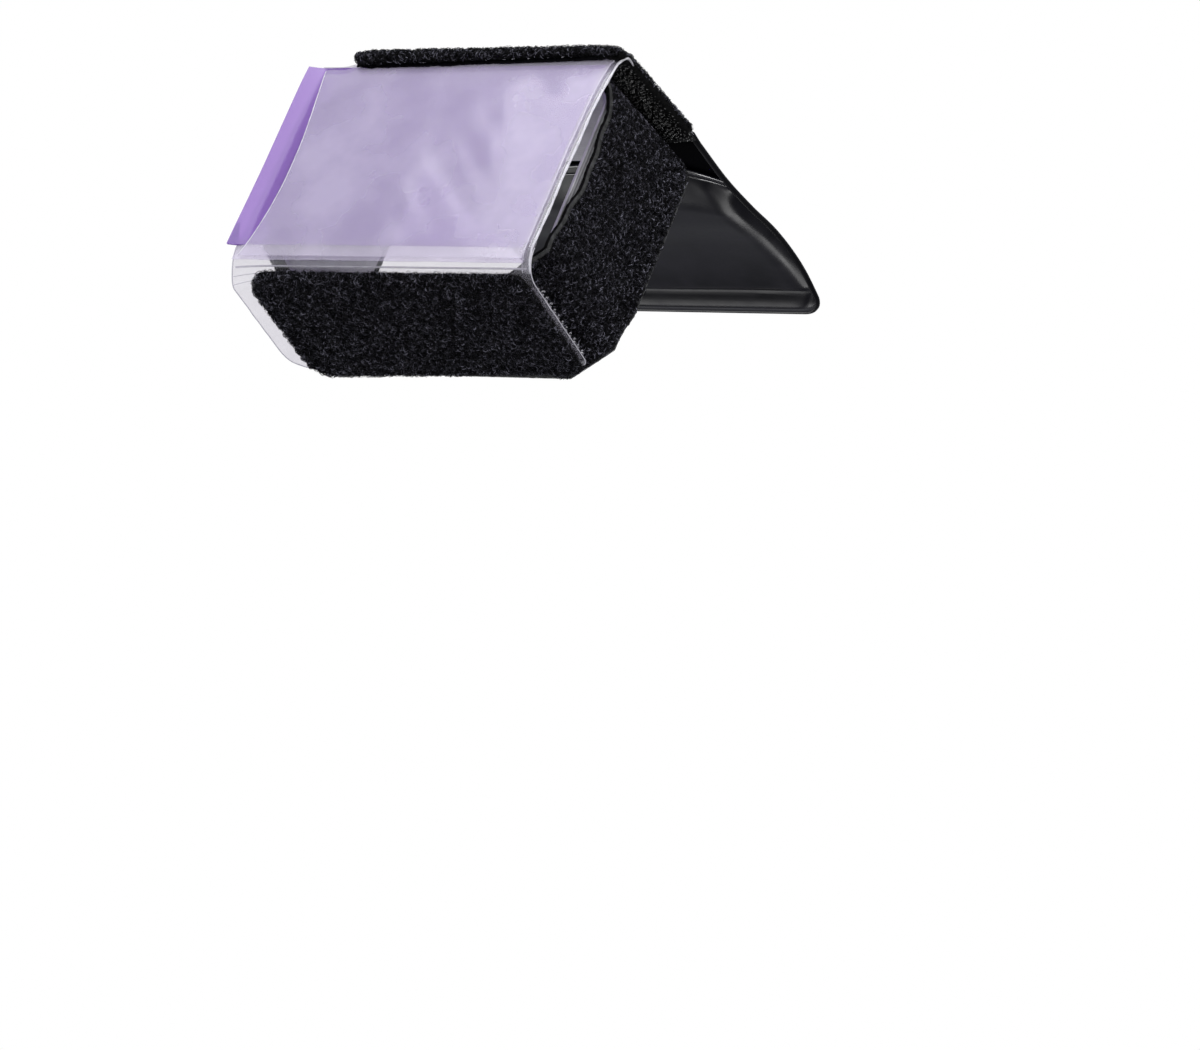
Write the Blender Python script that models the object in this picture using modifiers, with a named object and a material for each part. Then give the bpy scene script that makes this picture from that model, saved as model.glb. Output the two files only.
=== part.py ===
"""Gel-filter sleeve for a speedlight head: a loop-faced strap that wraps the head, a clear pocket
for colour gels across its front, hook-backed flaps that hold the pocket on, and a vinyl pouch.

Metres, +Z up. +X runs across the head, the clear window faces -Y and the pouch trails off at +Y.
The origin is the centre of the seat that rests on the head's underside.
"""

import math

import bmesh
import bpy
from mathutils import Vector

MM = 0.001
GAP = 0.3 * MM  # kept between pieces that touch

# The flash head that the sleeve fits: its section grows from the strap's front to its rear
HEAD_WIDTH = 75 * MM
HEAD_HEIGHT_FRONT = 57 * MM
HEAD_HEIGHT_REAR = 63.5 * MM
HEAD_CHAMFER = 7 * MM
HEAD_CORNER_RADIUS = 7 * MM

# The strap, wound once round the head
LINING_DEPTH = 36 * MM
LINING_THICKNESS = 1.2 * MM
STRAP_DEPTH = 40 * MM
STRAP_THICKNESS = 2.2 * MM
STRAP_END_Z = 49 * MM  # where the inner end stops on the left wall
STRAP_END_SLIT = 1 * MM
TAIL_LENGTH = 38 * MM
TAIL_RISE = 3 * MM  # from the inner end up to the tail's fold
TAIL_PATCH_THICKNESS = 1.0 * MM
TAIL_PATCH_LENGTH = 28 * MM
TAIL_STEP = 4 * MM  # over which it moves out by the patch's thickness
TAIL_STEP_LEAD = 1 * MM  # straight part above that step
TAIL_SIDE_MARGIN = 1 * MM
TAIL_SEAM_INSET = 2.5 * MM
THREAD_RADIUS = 0.25 * MM

# The clear film: pocket sheets, flaps and the welds along them
FILM = 0.4 * MM
GEL_THICKNESS = 0.3 * MM
WINDOW_LEFT = -43.5 * MM
WINDOW_RIGHT = 41.9 * MM
WINDOW_STAND_OFF = 5 * MM  # from the strap's front edge to the window
WINDOW_BOW = 1.5 * MM
WINDOW_LEAN = 2.0 * MM  # how far the lower edge stands in front of the upper one
MOUTH_SETBACK = 1 * MM  # of the front sheet's left edge, at its ends
MOUTH_NOTCH = 4 * MM
FOLD_CLEAR = 0.6 * MM
EDGE_WELD_WIDTH = 2.2 * MM
CROSS_WELD_RADIUS = 0.5 * MM
WELD_EDGE = 0.3 * MM
FRONT_SHEET_INSET = 2.8 * MM
WINDOW_STEPS = 18
WINDOW_COLUMNS = 14

GEL_LEFT = -47.8 * MM
GEL_RIGHT = 38.6 * MM
GEL_BOTTOM = 1.1 * MM
GEL_TOP = 58.2 * MM

HOOK_THICKNESS = 1.2 * MM
PAD_THICKNESS = 2.4 * MM
BOTTOM_FLAP_DEPTH = 42 * MM
TOP_FLAP_DEPTH = 42 * MM

# The flaps' layers, in millimetres: left and right edge, setback from the fold and from the rear
# edge, and the corners' radii at front left, front right, rear right and rear left
BOTTOM_FILM = (-43.5, 41.9, 0.6, 0, (0.5, 0.5, 3, 8))
BOTTOM_HOOKS = (-38, 40.5, 8, 2, (1, 1, 1, 1))
BOTTOM_PAD = (-37.8, 40.6, 2.8, 0.8, (4, 5, 2, 7))
TOP_FILM = (-43.5, 41.9, 0.6, 0, (0.5, 0.5, 0.5, 0.5))
TOP_HOOKS = (-35.5, 42.2, 6, 1, (1, 1, 1, 1))
TOP_PAD = (-35.5, 42.2, 2.2, 2, (4, 3, 3, 4))
PAD_EDGE = 0.6 * MM

# The pouch's skin, as points (y, z) along its length in millimetres
POUCH_LINE = ((18.6, 69.2), (31, 70.8), (45, 73.4), (60, 76.8), (76, 78.2), (92.4, 76.8))
POUCH_HALF_WIDTH = 41 * MM
SKIN_THICKNESS = 0.6 * MM
MOUTH_Y_MIDDLE = 24 * MM
MOUTH_Y_SIDE = 34 * MM
POUCH_SAG = 6.4 * MM
LINING_SETBACK = 2 * MM  # of the inner skin's rear edge
RIM_RADIUS = 0.8 * MM
POUCH_CORNER = 5 * MM
CORNER_STEPS = 6
POUCH_STEPS = 24
POUCH_COLUMNS = 16
RIM_STEPS = 18

# Levels that follow from the layers, counted outwards from the head
STRAP_IN = LINING_THICKNESS + GAP
STRAP_OUT = STRAP_IN + STRAP_THICKNESS
HOOK_IN = STRAP_OUT + GAP
FILM_IN = HOOK_IN + HOOK_THICKNESS + GAP
FILM_MIDDLE = FILM_IN + FILM / 2
PAD_IN = FILM_IN + FILM + GAP
STRAP_FRONT = -STRAP_DEPTH / 2
WINDOW_Y = STRAP_FRONT - WINDOW_STAND_OFF
TOP_SLOPE = (HEAD_HEIGHT_REAR - HEAD_HEIGHT_FRONT) / STRAP_DEPTH

model = None
helpers = None


def top_level(y, out):
    """Height of a layer over the head's sloping top, out metres above it."""
    return HEAD_HEIGHT_FRONT + TOP_SLOPE * (y - STRAP_FRONT) + out


TOP_FOLD = Vector((0, WINDOW_Y, top_level(WINDOW_Y, FILM_MIDDLE)))
BOTTOM_FOLD = Vector((0, WINDOW_Y - WINDOW_LEAN, -FILM_MIDDLE))
POUCH_FOLD = Vector((0, WINDOW_Y + TOP_FLAP_DEPTH + FOLD_CLEAR, POUCH_LINE[0][1] * MM))
TAIL_FOLD = Vector((-HEAD_WIDTH / 2 - STRAP_OUT - GAP, 0, STRAP_END_Z + TAIL_RISE))


def clear_scene():
    for old in list(bpy.data.objects):
        bpy.data.objects.remove(old, do_unlink=True)


def make_collections():
    global model, helpers
    model = bpy.data.collections.new("gel_sleeve")
    helpers = bpy.data.collections.new("joint_axes")
    for made in (model, helpers):
        bpy.context.scene.collection.children.link(made)


def material(name, color, roughness, alpha=1.0, transmission=0.0):
    made = bpy.data.materials.new(name)
    made.use_nodes = True
    shader = made.node_tree.nodes["Principled BSDF"]
    shader.inputs["Base Color"].default_value = (*color, 1)
    shader.inputs["Roughness"].default_value = roughness
    shader.inputs["Metallic"].default_value = 0.0
    shader.inputs["Alpha"].default_value = alpha
    shader.inputs["Transmission Weight"].default_value = transmission
    return made


def axis_empty(name, place):
    empty = bpy.data.objects.new(name, None)
    empty.empty_display_size = 10 * MM
    empty.location = place
    helpers.objects.link(empty)
    return empty


def add_object(name, mesh, finish, parent):
    """Links a mesh whose points are in world space, under an optional joint empty."""
    mesh.name = name
    mesh.materials.append(finish)
    made = bpy.data.objects.new(name, mesh)
    model.objects.link(made)
    if parent:
        bpy.context.view_layer.update()
        made.parent = parent
        made.matrix_parent_inverse = parent.matrix_world.inverted()
    return made


def mesh_from(bm):
    bmesh.ops.recalc_face_normals(bm, faces=bm.faces)
    mesh = bpy.data.meshes.new("mesh")
    bm.to_mesh(mesh)
    bm.free()
    return mesh


def surface(rows):
    """An open grid through rows of points, all of one length."""
    bm = bmesh.new()
    grid = [[bm.verts.new(point) for point in row] for row in rows]
    for low, high in zip(grid, grid[1:]):
        for a, b, c, d in zip(low, low[1:], high[1:], high):
            bm.faces.new((a, b, c, d))
    return bm


def solidify(obj, thickness, offset=0.0):
    shell = obj.modifiers.new("thickness", "SOLIDIFY")
    shell.thickness = thickness
    shell.offset = offset
    shell.use_even_offset = True


def bevel(obj, width, segments=2, angle=40):
    edge = obj.modifiers.new("soft_edges", "BEVEL")
    edge.width = width
    edge.segments = segments
    edge.limit_method = "ANGLE"
    edge.angle_limit = math.radians(angle)


def smooth(obj, angle=35):
    obj.data.shade_smooth()
    obj.data.set_sharp_from_angle(angle=math.radians(angle))


def corner_arc(x, y, radius, start, steps):
    """A quarter turn about (x, y), from the start angle in degrees."""
    turns = [math.radians(start + 90 * i / steps) for i in range(steps + 1)]
    return [(x + radius * math.cos(t), y + radius * math.sin(t)) for t in turns]


def rounded_outline(x0, x1, y0, y1, radii, steps=CORNER_STEPS):
    """A rectangle with its own radius at the (x0 y0), (x1 y0), (x1 y1) and (x0 y1) corners."""
    a, b, c, d = radii
    return (
        corner_arc(x0 + a, y0 + a, a, 180, steps)
        + corner_arc(x1 - b, y0 + b, b, 270, steps)
        + corner_arc(x1 - c, y1 - c, c, 0, steps)
        + corner_arc(x0 + d, y1 - d, d, 90, steps)
    )


def flap_layer(name, layer, fold, depth, height_at, thickness, finish, parent, edge=0.0):
    """A flat layer of a flap: its outline laid on a level or slope, thickened upwards."""
    left, right, front, rear, radii = layer
    outline = rounded_outline(
        left * MM,
        right * MM,
        fold.y + front * MM,
        fold.y + depth - rear * MM,
        [radius * MM for radius in radii],
    )
    bm = bmesh.new()
    bm.faces.new([bm.verts.new((x, y, height_at(y))) for x, y in outline])
    for face in bm.faces:
        face.normal_update()
        if face.normal.z < 0:
            face.normal_flip()
    mesh = bpy.data.meshes.new("mesh")
    bm.to_mesh(mesh)
    bm.free()
    made = add_object(name, mesh, finish, parent)
    solidify(made, thickness, offset=1.0)
    if edge:
        bevel(made, edge)
    smooth(made)
    return made


def section(out, height):
    """The head's outline (x, z), out metres outside it, open at the strap's end on the left."""
    half = HEAD_WIDTH / 2 + out
    cut = HEAD_CHAMFER + out * (2 - math.sqrt(2))
    radius = HEAD_CORNER_RADIUS + out
    side = half - radius
    top = height + out
    left = corner_arc(-side, top - radius, radius, 90, CORNER_STEPS)
    right = corner_arc(side, top - radius, radius, 0, CORNER_STEPS)
    lower = [(-half, cut - out), (cut - half, -out), (half - cut, -out), (half, cut - out)]
    return [(-half, STRAP_END_Z)] + lower + right + left + [(-half, STRAP_END_Z + STRAP_END_SLIT)]


def band(name, depth, out, thickness, finish):
    """One turn of tape round the head."""
    rows = []
    for y in (-depth / 2, depth / 2):
        height = top_level(y, 0)
        rows.append([Vector((x, y, z)) for x, z in section(out, height)])
    made = add_object(name, mesh_from(surface(rows)), finish, None)
    inner = made.data.polygons[0]
    away = 1.0 if inner.normal.x < 0 else -1.0
    solidify(made, thickness, offset=away)
    smooth(made)
    return made


def window_point(u):
    """(y, z) of the window's back sheet, from its top fold at u = 0 to its bottom fold at u = 1."""
    straight = TOP_FOLD.lerp(BOTTOM_FOLD, u)
    return straight.y - WINDOW_BOW * math.sin(math.pi * u**1.6), straight.z


def window_sheet(name, forward, thickness, edges, u_range, finish, parent):
    """A sheet that follows the window, forward metres in front of its back sheet.

    Its edges are a function for the left one, from 0 at the top to 1 at the bottom, and a
    distance for the right one.
    """
    left_at, right = edges
    rows = []
    for i in range(WINDOW_STEPS + 1):
        v = i / WINDOW_STEPS
        y, z = window_point(u_range[0] + (u_range[1] - u_range[0]) * v)
        left = left_at(v)
        step = (right - left) / WINDOW_COLUMNS
        rows.append([Vector((left + step * j, y - forward, z)) for j in range(WINDOW_COLUMNS + 1)])
    made = add_object(name, mesh_from(surface(rows)), finish, parent)
    solidify(made, thickness)
    smooth(made)


def tube(name, points, radius, finish, parent, cyclic=False, sides=2):
    """A round bar along points, made a welded mesh from a bevelled curve."""
    curve = bpy.data.curves.new(name, "CURVE")
    curve.dimensions = "3D"
    curve.bevel_depth = radius
    curve.bevel_resolution = sides
    curve.use_fill_caps = True
    spline = curve.splines.new("POLY")
    spline.points.add(len(points) - 1)
    for knot, place in zip(spline.points, points):
        knot.co = (*place, 1)
    spline.use_cyclic_u = cyclic
    guide = bpy.data.objects.new(name + "_guide", curve)
    bpy.context.scene.collection.objects.link(guide)
    bpy.context.view_layer.update()
    graph = bpy.context.evaluated_depsgraph_get()
    mesh = bpy.data.meshes.new_from_object(guide.evaluated_get(graph))
    bpy.data.objects.remove(guide)
    bm = bmesh.new()
    bm.from_mesh(mesh)
    bmesh.ops.remove_doubles(bm, verts=bm.verts, dist=1e-6)
    bpy.data.meshes.remove(mesh)
    made = add_object(name, mesh_from(bm), finish, parent)
    smooth(made, 60)
    return made


def make_strap(finish):
    band("strap_lining", LINING_DEPTH, 0.0, LINING_THICKNESS, finish["lining"])
    band("strap", STRAP_DEPTH, STRAP_IN, STRAP_THICKNESS, finish["loop"])


def make_tail(finish, empty):
    """The strap's free end: it steps out over the inner end and hangs down the left wall."""
    face = HEAD_WIDTH / 2 + STRAP_OUT + GAP
    inner = face + TAIL_PATCH_THICKNESS + GAP
    top = TAIL_FOLD.z
    bottom = top - TAIL_LENGTH
    line = [(face, top), (face, top - TAIL_STEP_LEAD), (inner, top - TAIL_STEP), (inner, bottom)]
    rows = [[Vector((-x, y, z)) for x, z in line] for y in (STRAP_FRONT, -STRAP_FRONT)]
    tail = add_object("strap_tail", mesh_from(surface(rows)), finish["loop"], empty)
    away = 1.0 if tail.data.polygons[0].normal.x < 0 else -1.0
    solidify(tail, STRAP_THICKNESS, offset=away)
    bevel(tail, 0.4 * MM)
    smooth(tail)

    low = bottom + TAIL_SEAM_INSET
    high = low + TAIL_PATCH_LENGTH
    half = STRAP_DEPTH / 2 - TAIL_SIDE_MARGIN
    rows = [[Vector((-face, y, z)) for z in (low, high)] for y in (-half, half)]
    patch = add_object("tail_hook_patch", mesh_from(surface(rows)), finish["hook"], empty)
    away = 1.0 if patch.data.polygons[0].normal.x < 0 else -1.0
    solidify(patch, TAIL_PATCH_THICKNESS, offset=away)

    x = -(inner + STRAP_THICKNESS + GAP + THREAD_RADIUS)
    y = half - TAIL_SEAM_INSET
    z0, z1 = low + TAIL_SEAM_INSET, high - TAIL_SEAM_INSET
    ring = [(x, -y, z0), (x, y, z0), (x, y, z1), (x, -y, z1)]
    tube("tail_seam_thread", ring, THREAD_RADIUS, finish["thread"], empty, cyclic=True)


def make_window(finish, empty, gel_empty):
    """The clear pocket: two sheets joined by welds, open at the left, with the gel between them."""
    drop = TOP_FOLD.z - BOTTOM_FOLD.z
    length = (TOP_FOLD - BOTTOM_FOLD).length
    end = FOLD_CLEAR / length
    inset = FRONT_SHEET_INSET / length
    seam = (2 * CROSS_WELD_RADIUS + FILM) / length
    gel_forward = FILM / 2 + GAP + GEL_THICKNESS / 2
    front_forward = gel_forward + GEL_THICKNESS / 2 + GAP + FILM / 2
    weld_left = WINDOW_RIGHT - EDGE_WELD_WIDTH
    sheet_right = weld_left - GAP

    def straight(_):
        return WINDOW_LEFT

    def notched(v):
        return WINDOW_LEFT + MOUTH_SETBACK + MOUTH_NOTCH * math.sin(math.pi * v) ** 0.8

    def gel_left(_):
        return GEL_LEFT

    back_span = (end, 1 - end)
    front_span = (inset, 1 - inset - seam)
    gel_span = ((TOP_FOLD.z - GEL_TOP) / drop, (TOP_FOLD.z - GEL_BOTTOM) / drop)
    film = finish["film"]
    window_sheet("window_back_sheet", 0, FILM, (straight, sheet_right), back_span, film, empty)
    window_sheet(
        "window_front_sheet", front_forward, FILM, (notched, sheet_right), front_span, film, empty
    )
    gel_edges = (gel_left, GEL_RIGHT)
    window_sheet(
        "gel_sheet", gel_forward, GEL_THICKNESS, gel_edges, gel_span, finish["gel"], gel_empty
    )

    rows = []
    for i in range(WINDOW_STEPS + 1):
        y, z = window_point(end + (1 - 2 * end) * i / WINDOW_STEPS)
        xs = (weld_left, (weld_left + WINDOW_RIGHT) / 2, WINDOW_RIGHT)
        rows.append([Vector((x, y - front_forward / 2, z)) for x in xs])
    edge = add_object("window_edge_weld", mesh_from(surface(rows)), film, empty)
    solidify(edge, front_forward + FILM)
    bevel(edge, WELD_EDGE)
    smooth(edge)

    y, z = window_point(1 - inset)
    place = y - FILM / 2 - GAP - CROSS_WELD_RADIUS
    run = [(x, place, z) for x in (WINDOW_LEFT + MOUTH_SETBACK, 0, sheet_right)]
    tube("window_bottom_weld", run, CROSS_WELD_RADIUS, film, empty)


def make_bottom_flap(finish, empty):
    def layer(name, outline, out, thickness, look, edge=0.0):
        def level(_):
            return -out - thickness

        place = (BOTTOM_FOLD, BOTTOM_FLAP_DEPTH, level, thickness)
        flap_layer(name, outline, *place, finish[look], empty, edge)

    layer("bottom_flap_sheet", BOTTOM_FILM, FILM_IN, FILM, "film")
    layer("bottom_hook_strip", BOTTOM_HOOKS, HOOK_IN, HOOK_THICKNESS, "clear_hook")
    layer("bottom_loop_pad", BOTTOM_PAD, PAD_IN, PAD_THICKNESS, "loop", PAD_EDGE)


def make_top_flap(finish, empty):
    def layer(name, outline, out, thickness, look, edge=0.0):
        def level(y):
            return top_level(y, out)

        place = (TOP_FOLD, TOP_FLAP_DEPTH, level, thickness)
        flap_layer(name, outline, *place, finish[look], empty, edge)

    layer("top_flap_sheet", TOP_FILM, FILM_IN, FILM, "film")
    layer("top_hook_strip", TOP_HOOKS, HOOK_IN, HOOK_THICKNESS, "hook")
    layer("top_loop_pad", TOP_PAD, PAD_IN, PAD_THICKNESS, "loop", PAD_EDGE)


def pouch_line(t):
    """The pouch's length at t from 0 to 1: a smooth curve through its points, as (y, z)."""
    knots = [Vector(p) * MM for p in POUCH_LINE]
    knots = [2 * knots[0] - knots[1]] + knots + [2 * knots[-1] - knots[-2]]
    along = t * (len(knots) - 3)
    i = min(int(along), len(knots) - 4)
    s = along - i
    a, b, c, d = knots[i : i + 4]
    return 0.5 * (2 * b + (c - a) * s + (2 * a - 5 * b + 4 * c - d) * s**2 + (3 * b - a - 3 * c + d) * s**3)


def pouch_level(y):
    """Height of the pouch's skin at y."""
    low, high = 0.0, 1.0
    for _ in range(24):
        middle = (low + high) / 2
        low, high = (middle, high) if pouch_line(middle).x < y else (low, middle)
    return pouch_line((low + high) / 2).y


def pouch_half_width(y, end):
    """Half the pouch's width at y, drawn in by the round corners at its rear end."""
    past = min(max(y - (end - POUCH_CORNER), 0), POUCH_CORNER)
    return POUCH_HALF_WIDTH - POUCH_CORNER + math.sqrt(POUCH_CORNER**2 - past**2)


def make_pouch(finish, empty):
    """Two vinyl skins welded round three sides; the lower one sags open at the front."""
    skin_start = POUCH_FOLD.y + FOLD_CLEAR
    skin_end = POUCH_LINE[-1][0] * MM
    rows = []
    for i in range(POUCH_STEPS + 1):
        y = skin_start + (skin_end - skin_start) * math.sin(math.pi / 2 * i / POUCH_STEPS)
        half = pouch_half_width(y, skin_end)
        xs = [half * (2 * j / POUCH_COLUMNS - 1) for j in range(POUCH_COLUMNS + 1)]
        rows.append([Vector((x, y, pouch_level(y))) for x in xs])
    skin = add_object("pouch_outer_skin", mesh_from(surface(rows)), finish["vinyl"], empty)
    solidify(skin, SKIN_THICKNESS)
    smooth(skin)

    rows = []
    clear = SKIN_THICKNESS + GAP
    lining_end = skin_end - LINING_SETBACK
    for i in range(POUCH_STEPS + 1):
        row = []
        for j in range(POUCH_COLUMNS + 1):
            across = 2 * j / POUCH_COLUMNS - 1
            mouth = MOUTH_Y_MIDDLE + (MOUTH_Y_SIDE - MOUTH_Y_MIDDLE) * across**2
            v = math.sin(math.pi / 2 * i / POUCH_STEPS)
            y = mouth + (lining_end - mouth) * v
            sag = POUCH_SAG * (1 - across**2) ** 0.75 * math.cos(math.pi / 2 * v**1.3)
            half = pouch_half_width(y, skin_end)
            row.append(Vector((half * across, y, pouch_level(y) - clear - sag)))
        rows.append(row)
    lining = add_object("pouch_inner_lining", mesh_from(surface(rows)), finish["vinyl"], empty)
    solidify(lining, SKIN_THICKNESS)
    smooth(lining)

    side = POUCH_HALF_WIDTH + GAP + RIM_RADIUS
    back = skin_end + GAP + RIM_RADIUS
    turn = POUCH_CORNER + GAP + RIM_RADIUS
    step = (back - turn - skin_start) / RIM_STEPS
    right = [(side, skin_start + step * i) for i in range(RIM_STEPS)]
    corner = corner_arc(side - turn, back - turn, turn, 0, CORNER_STEPS)
    half = right + corner
    path = half + [(-x, y) for x, y in reversed(half)]
    level = [(x, y, pouch_level(min(y, skin_end)) - clear / 2) for x, y in path]
    tube("pouch_rim_weld", level, RIM_RADIUS, finish["vinyl"], empty)


def main():
    clear_scene()
    make_collections()
    finish = {
        "loop": material("loop_fabric", (0.012, 0.012, 0.014), 0.95),
        "lining": material("grip_lining", (0.42, 0.42, 0.44), 0.8),
        "hook": material("black_hook", (0.015, 0.015, 0.018), 0.45),
        "clear_hook": material("clear_hook", (0.75, 0.75, 0.78), 0.3, 0.5, 0.6),
        "film": material("clear_film", (0.93, 0.92, 0.95), 0.06, 0.25, 0.9),
        "gel": material("purple_gel", (0.42, 0.24, 0.72), 0.12, 0.6, 0.7),
        "vinyl": material("black_vinyl", (0.01, 0.01, 0.013), 0.22),
        "thread": material("thread", (0.03, 0.03, 0.035), 0.7),
    }
    window_axis = axis_empty("window_swing_axis", TOP_FOLD)
    top_axis = axis_empty("top_flap_axis", TOP_FOLD)
    bottom_axis = axis_empty("bottom_flap_axis", BOTTOM_FOLD)
    bottom_axis.parent = window_axis
    bottom_axis.location = BOTTOM_FOLD - TOP_FOLD
    gel_axis = axis_empty("gel_slide_axis", Vector())
    gel_axis.parent = window_axis
    pouch_axis = axis_empty("pouch_axis", POUCH_FOLD - TOP_FOLD)
    pouch_axis.parent = top_axis
    tail_axis = axis_empty("tail_peel_axis", TAIL_FOLD)

    make_strap(finish)
    make_tail(finish, tail_axis)
    make_window(finish, window_axis, gel_axis)
    make_bottom_flap(finish, bottom_axis)
    make_top_flap(finish, top_axis)
    make_pouch(finish, pouch_axis)


main()
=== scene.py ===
"""Looks for a speedlight gel-filter sleeve: napped loop tape, clear vinyl pocket, purple gel,
hook strips and a glossy black pouch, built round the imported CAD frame."""

import math

import bpy
import numpy as np
from mathutils import Matrix, Vector


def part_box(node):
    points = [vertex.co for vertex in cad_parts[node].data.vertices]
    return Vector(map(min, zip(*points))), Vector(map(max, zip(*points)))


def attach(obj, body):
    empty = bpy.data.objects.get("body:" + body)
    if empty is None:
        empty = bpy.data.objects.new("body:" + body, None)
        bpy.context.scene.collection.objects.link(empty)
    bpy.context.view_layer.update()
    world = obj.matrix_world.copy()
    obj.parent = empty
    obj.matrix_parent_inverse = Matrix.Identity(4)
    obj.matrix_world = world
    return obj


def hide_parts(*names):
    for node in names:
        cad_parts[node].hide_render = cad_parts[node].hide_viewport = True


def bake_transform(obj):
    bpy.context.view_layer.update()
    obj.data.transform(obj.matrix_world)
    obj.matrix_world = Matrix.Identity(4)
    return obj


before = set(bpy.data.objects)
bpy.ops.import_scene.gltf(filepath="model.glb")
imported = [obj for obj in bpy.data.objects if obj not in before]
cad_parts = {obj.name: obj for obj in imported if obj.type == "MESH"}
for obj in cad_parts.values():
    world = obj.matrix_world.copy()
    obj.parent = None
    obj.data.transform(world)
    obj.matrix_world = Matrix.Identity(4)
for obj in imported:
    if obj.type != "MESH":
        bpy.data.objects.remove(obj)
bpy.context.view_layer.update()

MM = 0.001
PI = math.pi


def box_mm(node):
    """A CAD node's lowest and highest corners, in millimetres."""
    low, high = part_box(node)
    return np.array(low) / MM, np.array(high) / MM


# Places and sizes in millimetres, read from the frame
STRAP_LOW, STRAP_HIGH = box_mm("strap")
LINING_LOW, LINING_HIGH = box_mm("strap_lining")
WINDOW_LOW, WINDOW_HIGH = box_mm("window_back_sheet")
EDGE_LOW, EDGE_HIGH = box_mm("window_edge_weld")
GEL_LOW, GEL_HIGH = box_mm("gel_sheet")
BOTTOM_LOW, BOTTOM_HIGH = box_mm("bottom_flap_sheet")
BOTTOM_HOOK_LOW, BOTTOM_HOOK_HIGH = box_mm("bottom_hook_strip")
BOTTOM_PAD_LOW, BOTTOM_PAD_HIGH = box_mm("bottom_loop_pad")
TOP_LOW, TOP_HIGH = box_mm("top_flap_sheet")
TOP_HOOK_LOW, TOP_HOOK_HIGH = box_mm("top_hook_strip")
TOP_PAD_LOW, TOP_PAD_HIGH = box_mm("top_loop_pad")
TAIL_LOW, TAIL_HIGH = box_mm("strap_tail")
PATCH_LOW, PATCH_HIGH = box_mm("tail_hook_patch")
THREAD_LOW, THREAD_HIGH = box_mm("tail_seam_thread")
SKIN_LOW, SKIN_HIGH = box_mm("pouch_outer_skin")

# The layers, as distances out from the head that the sleeve wraps
HEAD_HALF = LINING_HIGH[0] - 1.2
LINING_OUT = LINING_HIGH[0] - HEAD_HALF
STRAP_OUT = STRAP_HIGH[0] - HEAD_HALF
STRAP_IN = STRAP_OUT - 2.2
HOOK_IN = STRAP_OUT + 0.3
FILM_OUT = HOOK_IN + 1.7
PAD_OUT = HOOK_IN + 2.8

# The head's section: chamfered below, rounded above, and higher at the strap's rear
HEAD_FRONT_TOP = 57.0
HEAD_REAR_TOP = STRAP_HIGH[2] - STRAP_OUT
HEAD_CHAMFER = 7.0
HEAD_RADIUS = 7.0
ARC_STEPS = 8
STRAP_END_Z = 49.0  # the slit in the left wall, where the strap's tail starts
STRAP_WIDTH = STRAP_HIGH[1] - STRAP_LOW[1]
TOP_SLOPE = (HEAD_REAR_TOP - HEAD_FRONT_TOP) / STRAP_WIDTH

# Where the window's back film turns over into the top flap
WINDOW_TOP_Y = TOP_LOW[1] - 0.6
FOLD_Z = 61.9

THIN = 1
YARNS = 24000 // THIN
TAPE_THICK, LINING_THICK = 1.7, 0.8
TUFT, LUMP = 2.6, 0.16  # the knitted ground's tufts: how far apart, and how high
RIB_PITCH, RIB_DEPTH = 0.32, 0.32  # the woven edge's cords: how far apart, and how deep

# The hooks' height and radius, on the tail's patch, the top flap and the clear bottom flap
HOOK, TOP_HOOK, CLEAR_HOOK = (0.5, 0.08), (0.62, 0.105), (0.95, 0.09)


# ---------------- numbers and noise


def ripple(x, y, size, seed, octaves=3):
    """Smooth noise from -1 to 1 with features of about size, over arrays x and y."""
    rng = np.random.default_rng(seed)
    total = np.zeros(np.broadcast(x, y).shape)
    weight = 0.0
    for octave in range(octaves):
        scale = 2 * PI / (size / 1.7**octave)
        for _ in range(5):
            turn, phase = rng.uniform(0, 2 * PI, 2)
            reach = rng.uniform(0.6, 1.2)
            wave = (x * math.cos(turn) + y * math.sin(turn)) * scale * reach
            total = total + np.sin(wave + phase) / 1.5**octave
        weight += 5 / 1.5**octave
    return total / weight * 2.2


def ease(low, high, value):
    t = np.clip((value - low) / (high - low), 0, 1)
    return t * t * (3 - 2 * t)


def hump(value, middle, width):
    """A smooth rise from 0 to 1 and back, round middle."""
    return np.exp(-(((value - middle) / width) ** 2))


def dome(share):
    """From 0 to 1 along a quarter circle, steep at first."""
    return np.sqrt(np.clip(1 - (1 - np.clip(share, 0, 1)) ** 2, 0, 1))


def round_off(radius, left):
    """How far a rounded corner draws in, with left still to go to the edge."""
    return radius - np.sqrt(radius**2 - np.clip(radius - left, 0, radius) ** 2)


def plane(first, second):
    """Two grids over a rectangle: first changes down the rows, second along them."""
    return np.meshgrid(first, second, indexing="ij")


def rows_between(left, right, count):
    """A grid of x values: each row runs from its own left to its own right in count steps."""
    return left[:, None] + (right - left)[:, None] * np.linspace(0, 1, count)


def unit(vectors):
    return vectors / np.maximum(np.linalg.norm(vectors, axis=-1, keepdims=True), 1e-9)


def run_along(points):
    """The distance along a path to each of its points."""
    return np.concatenate([[0], np.cumsum(np.linalg.norm(np.diff(points, axis=0), axis=1))])


def resample(points, count):
    """count points at even steps along a path, rows of any width."""
    points = np.asarray(points, float)
    steps = run_along(points)
    wanted = np.linspace(0, steps[-1], count)
    return np.stack([np.interp(wanted, steps, points[:, i]) for i in range(points.shape[1])], 1)


def arc(x, y, radius, start, end, steps=8):
    turns = np.radians(np.linspace(start, end, steps + 1))
    return [(x + radius * math.cos(t), y + radius * math.sin(t)) for t in turns]


# ---------------- meshes


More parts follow.
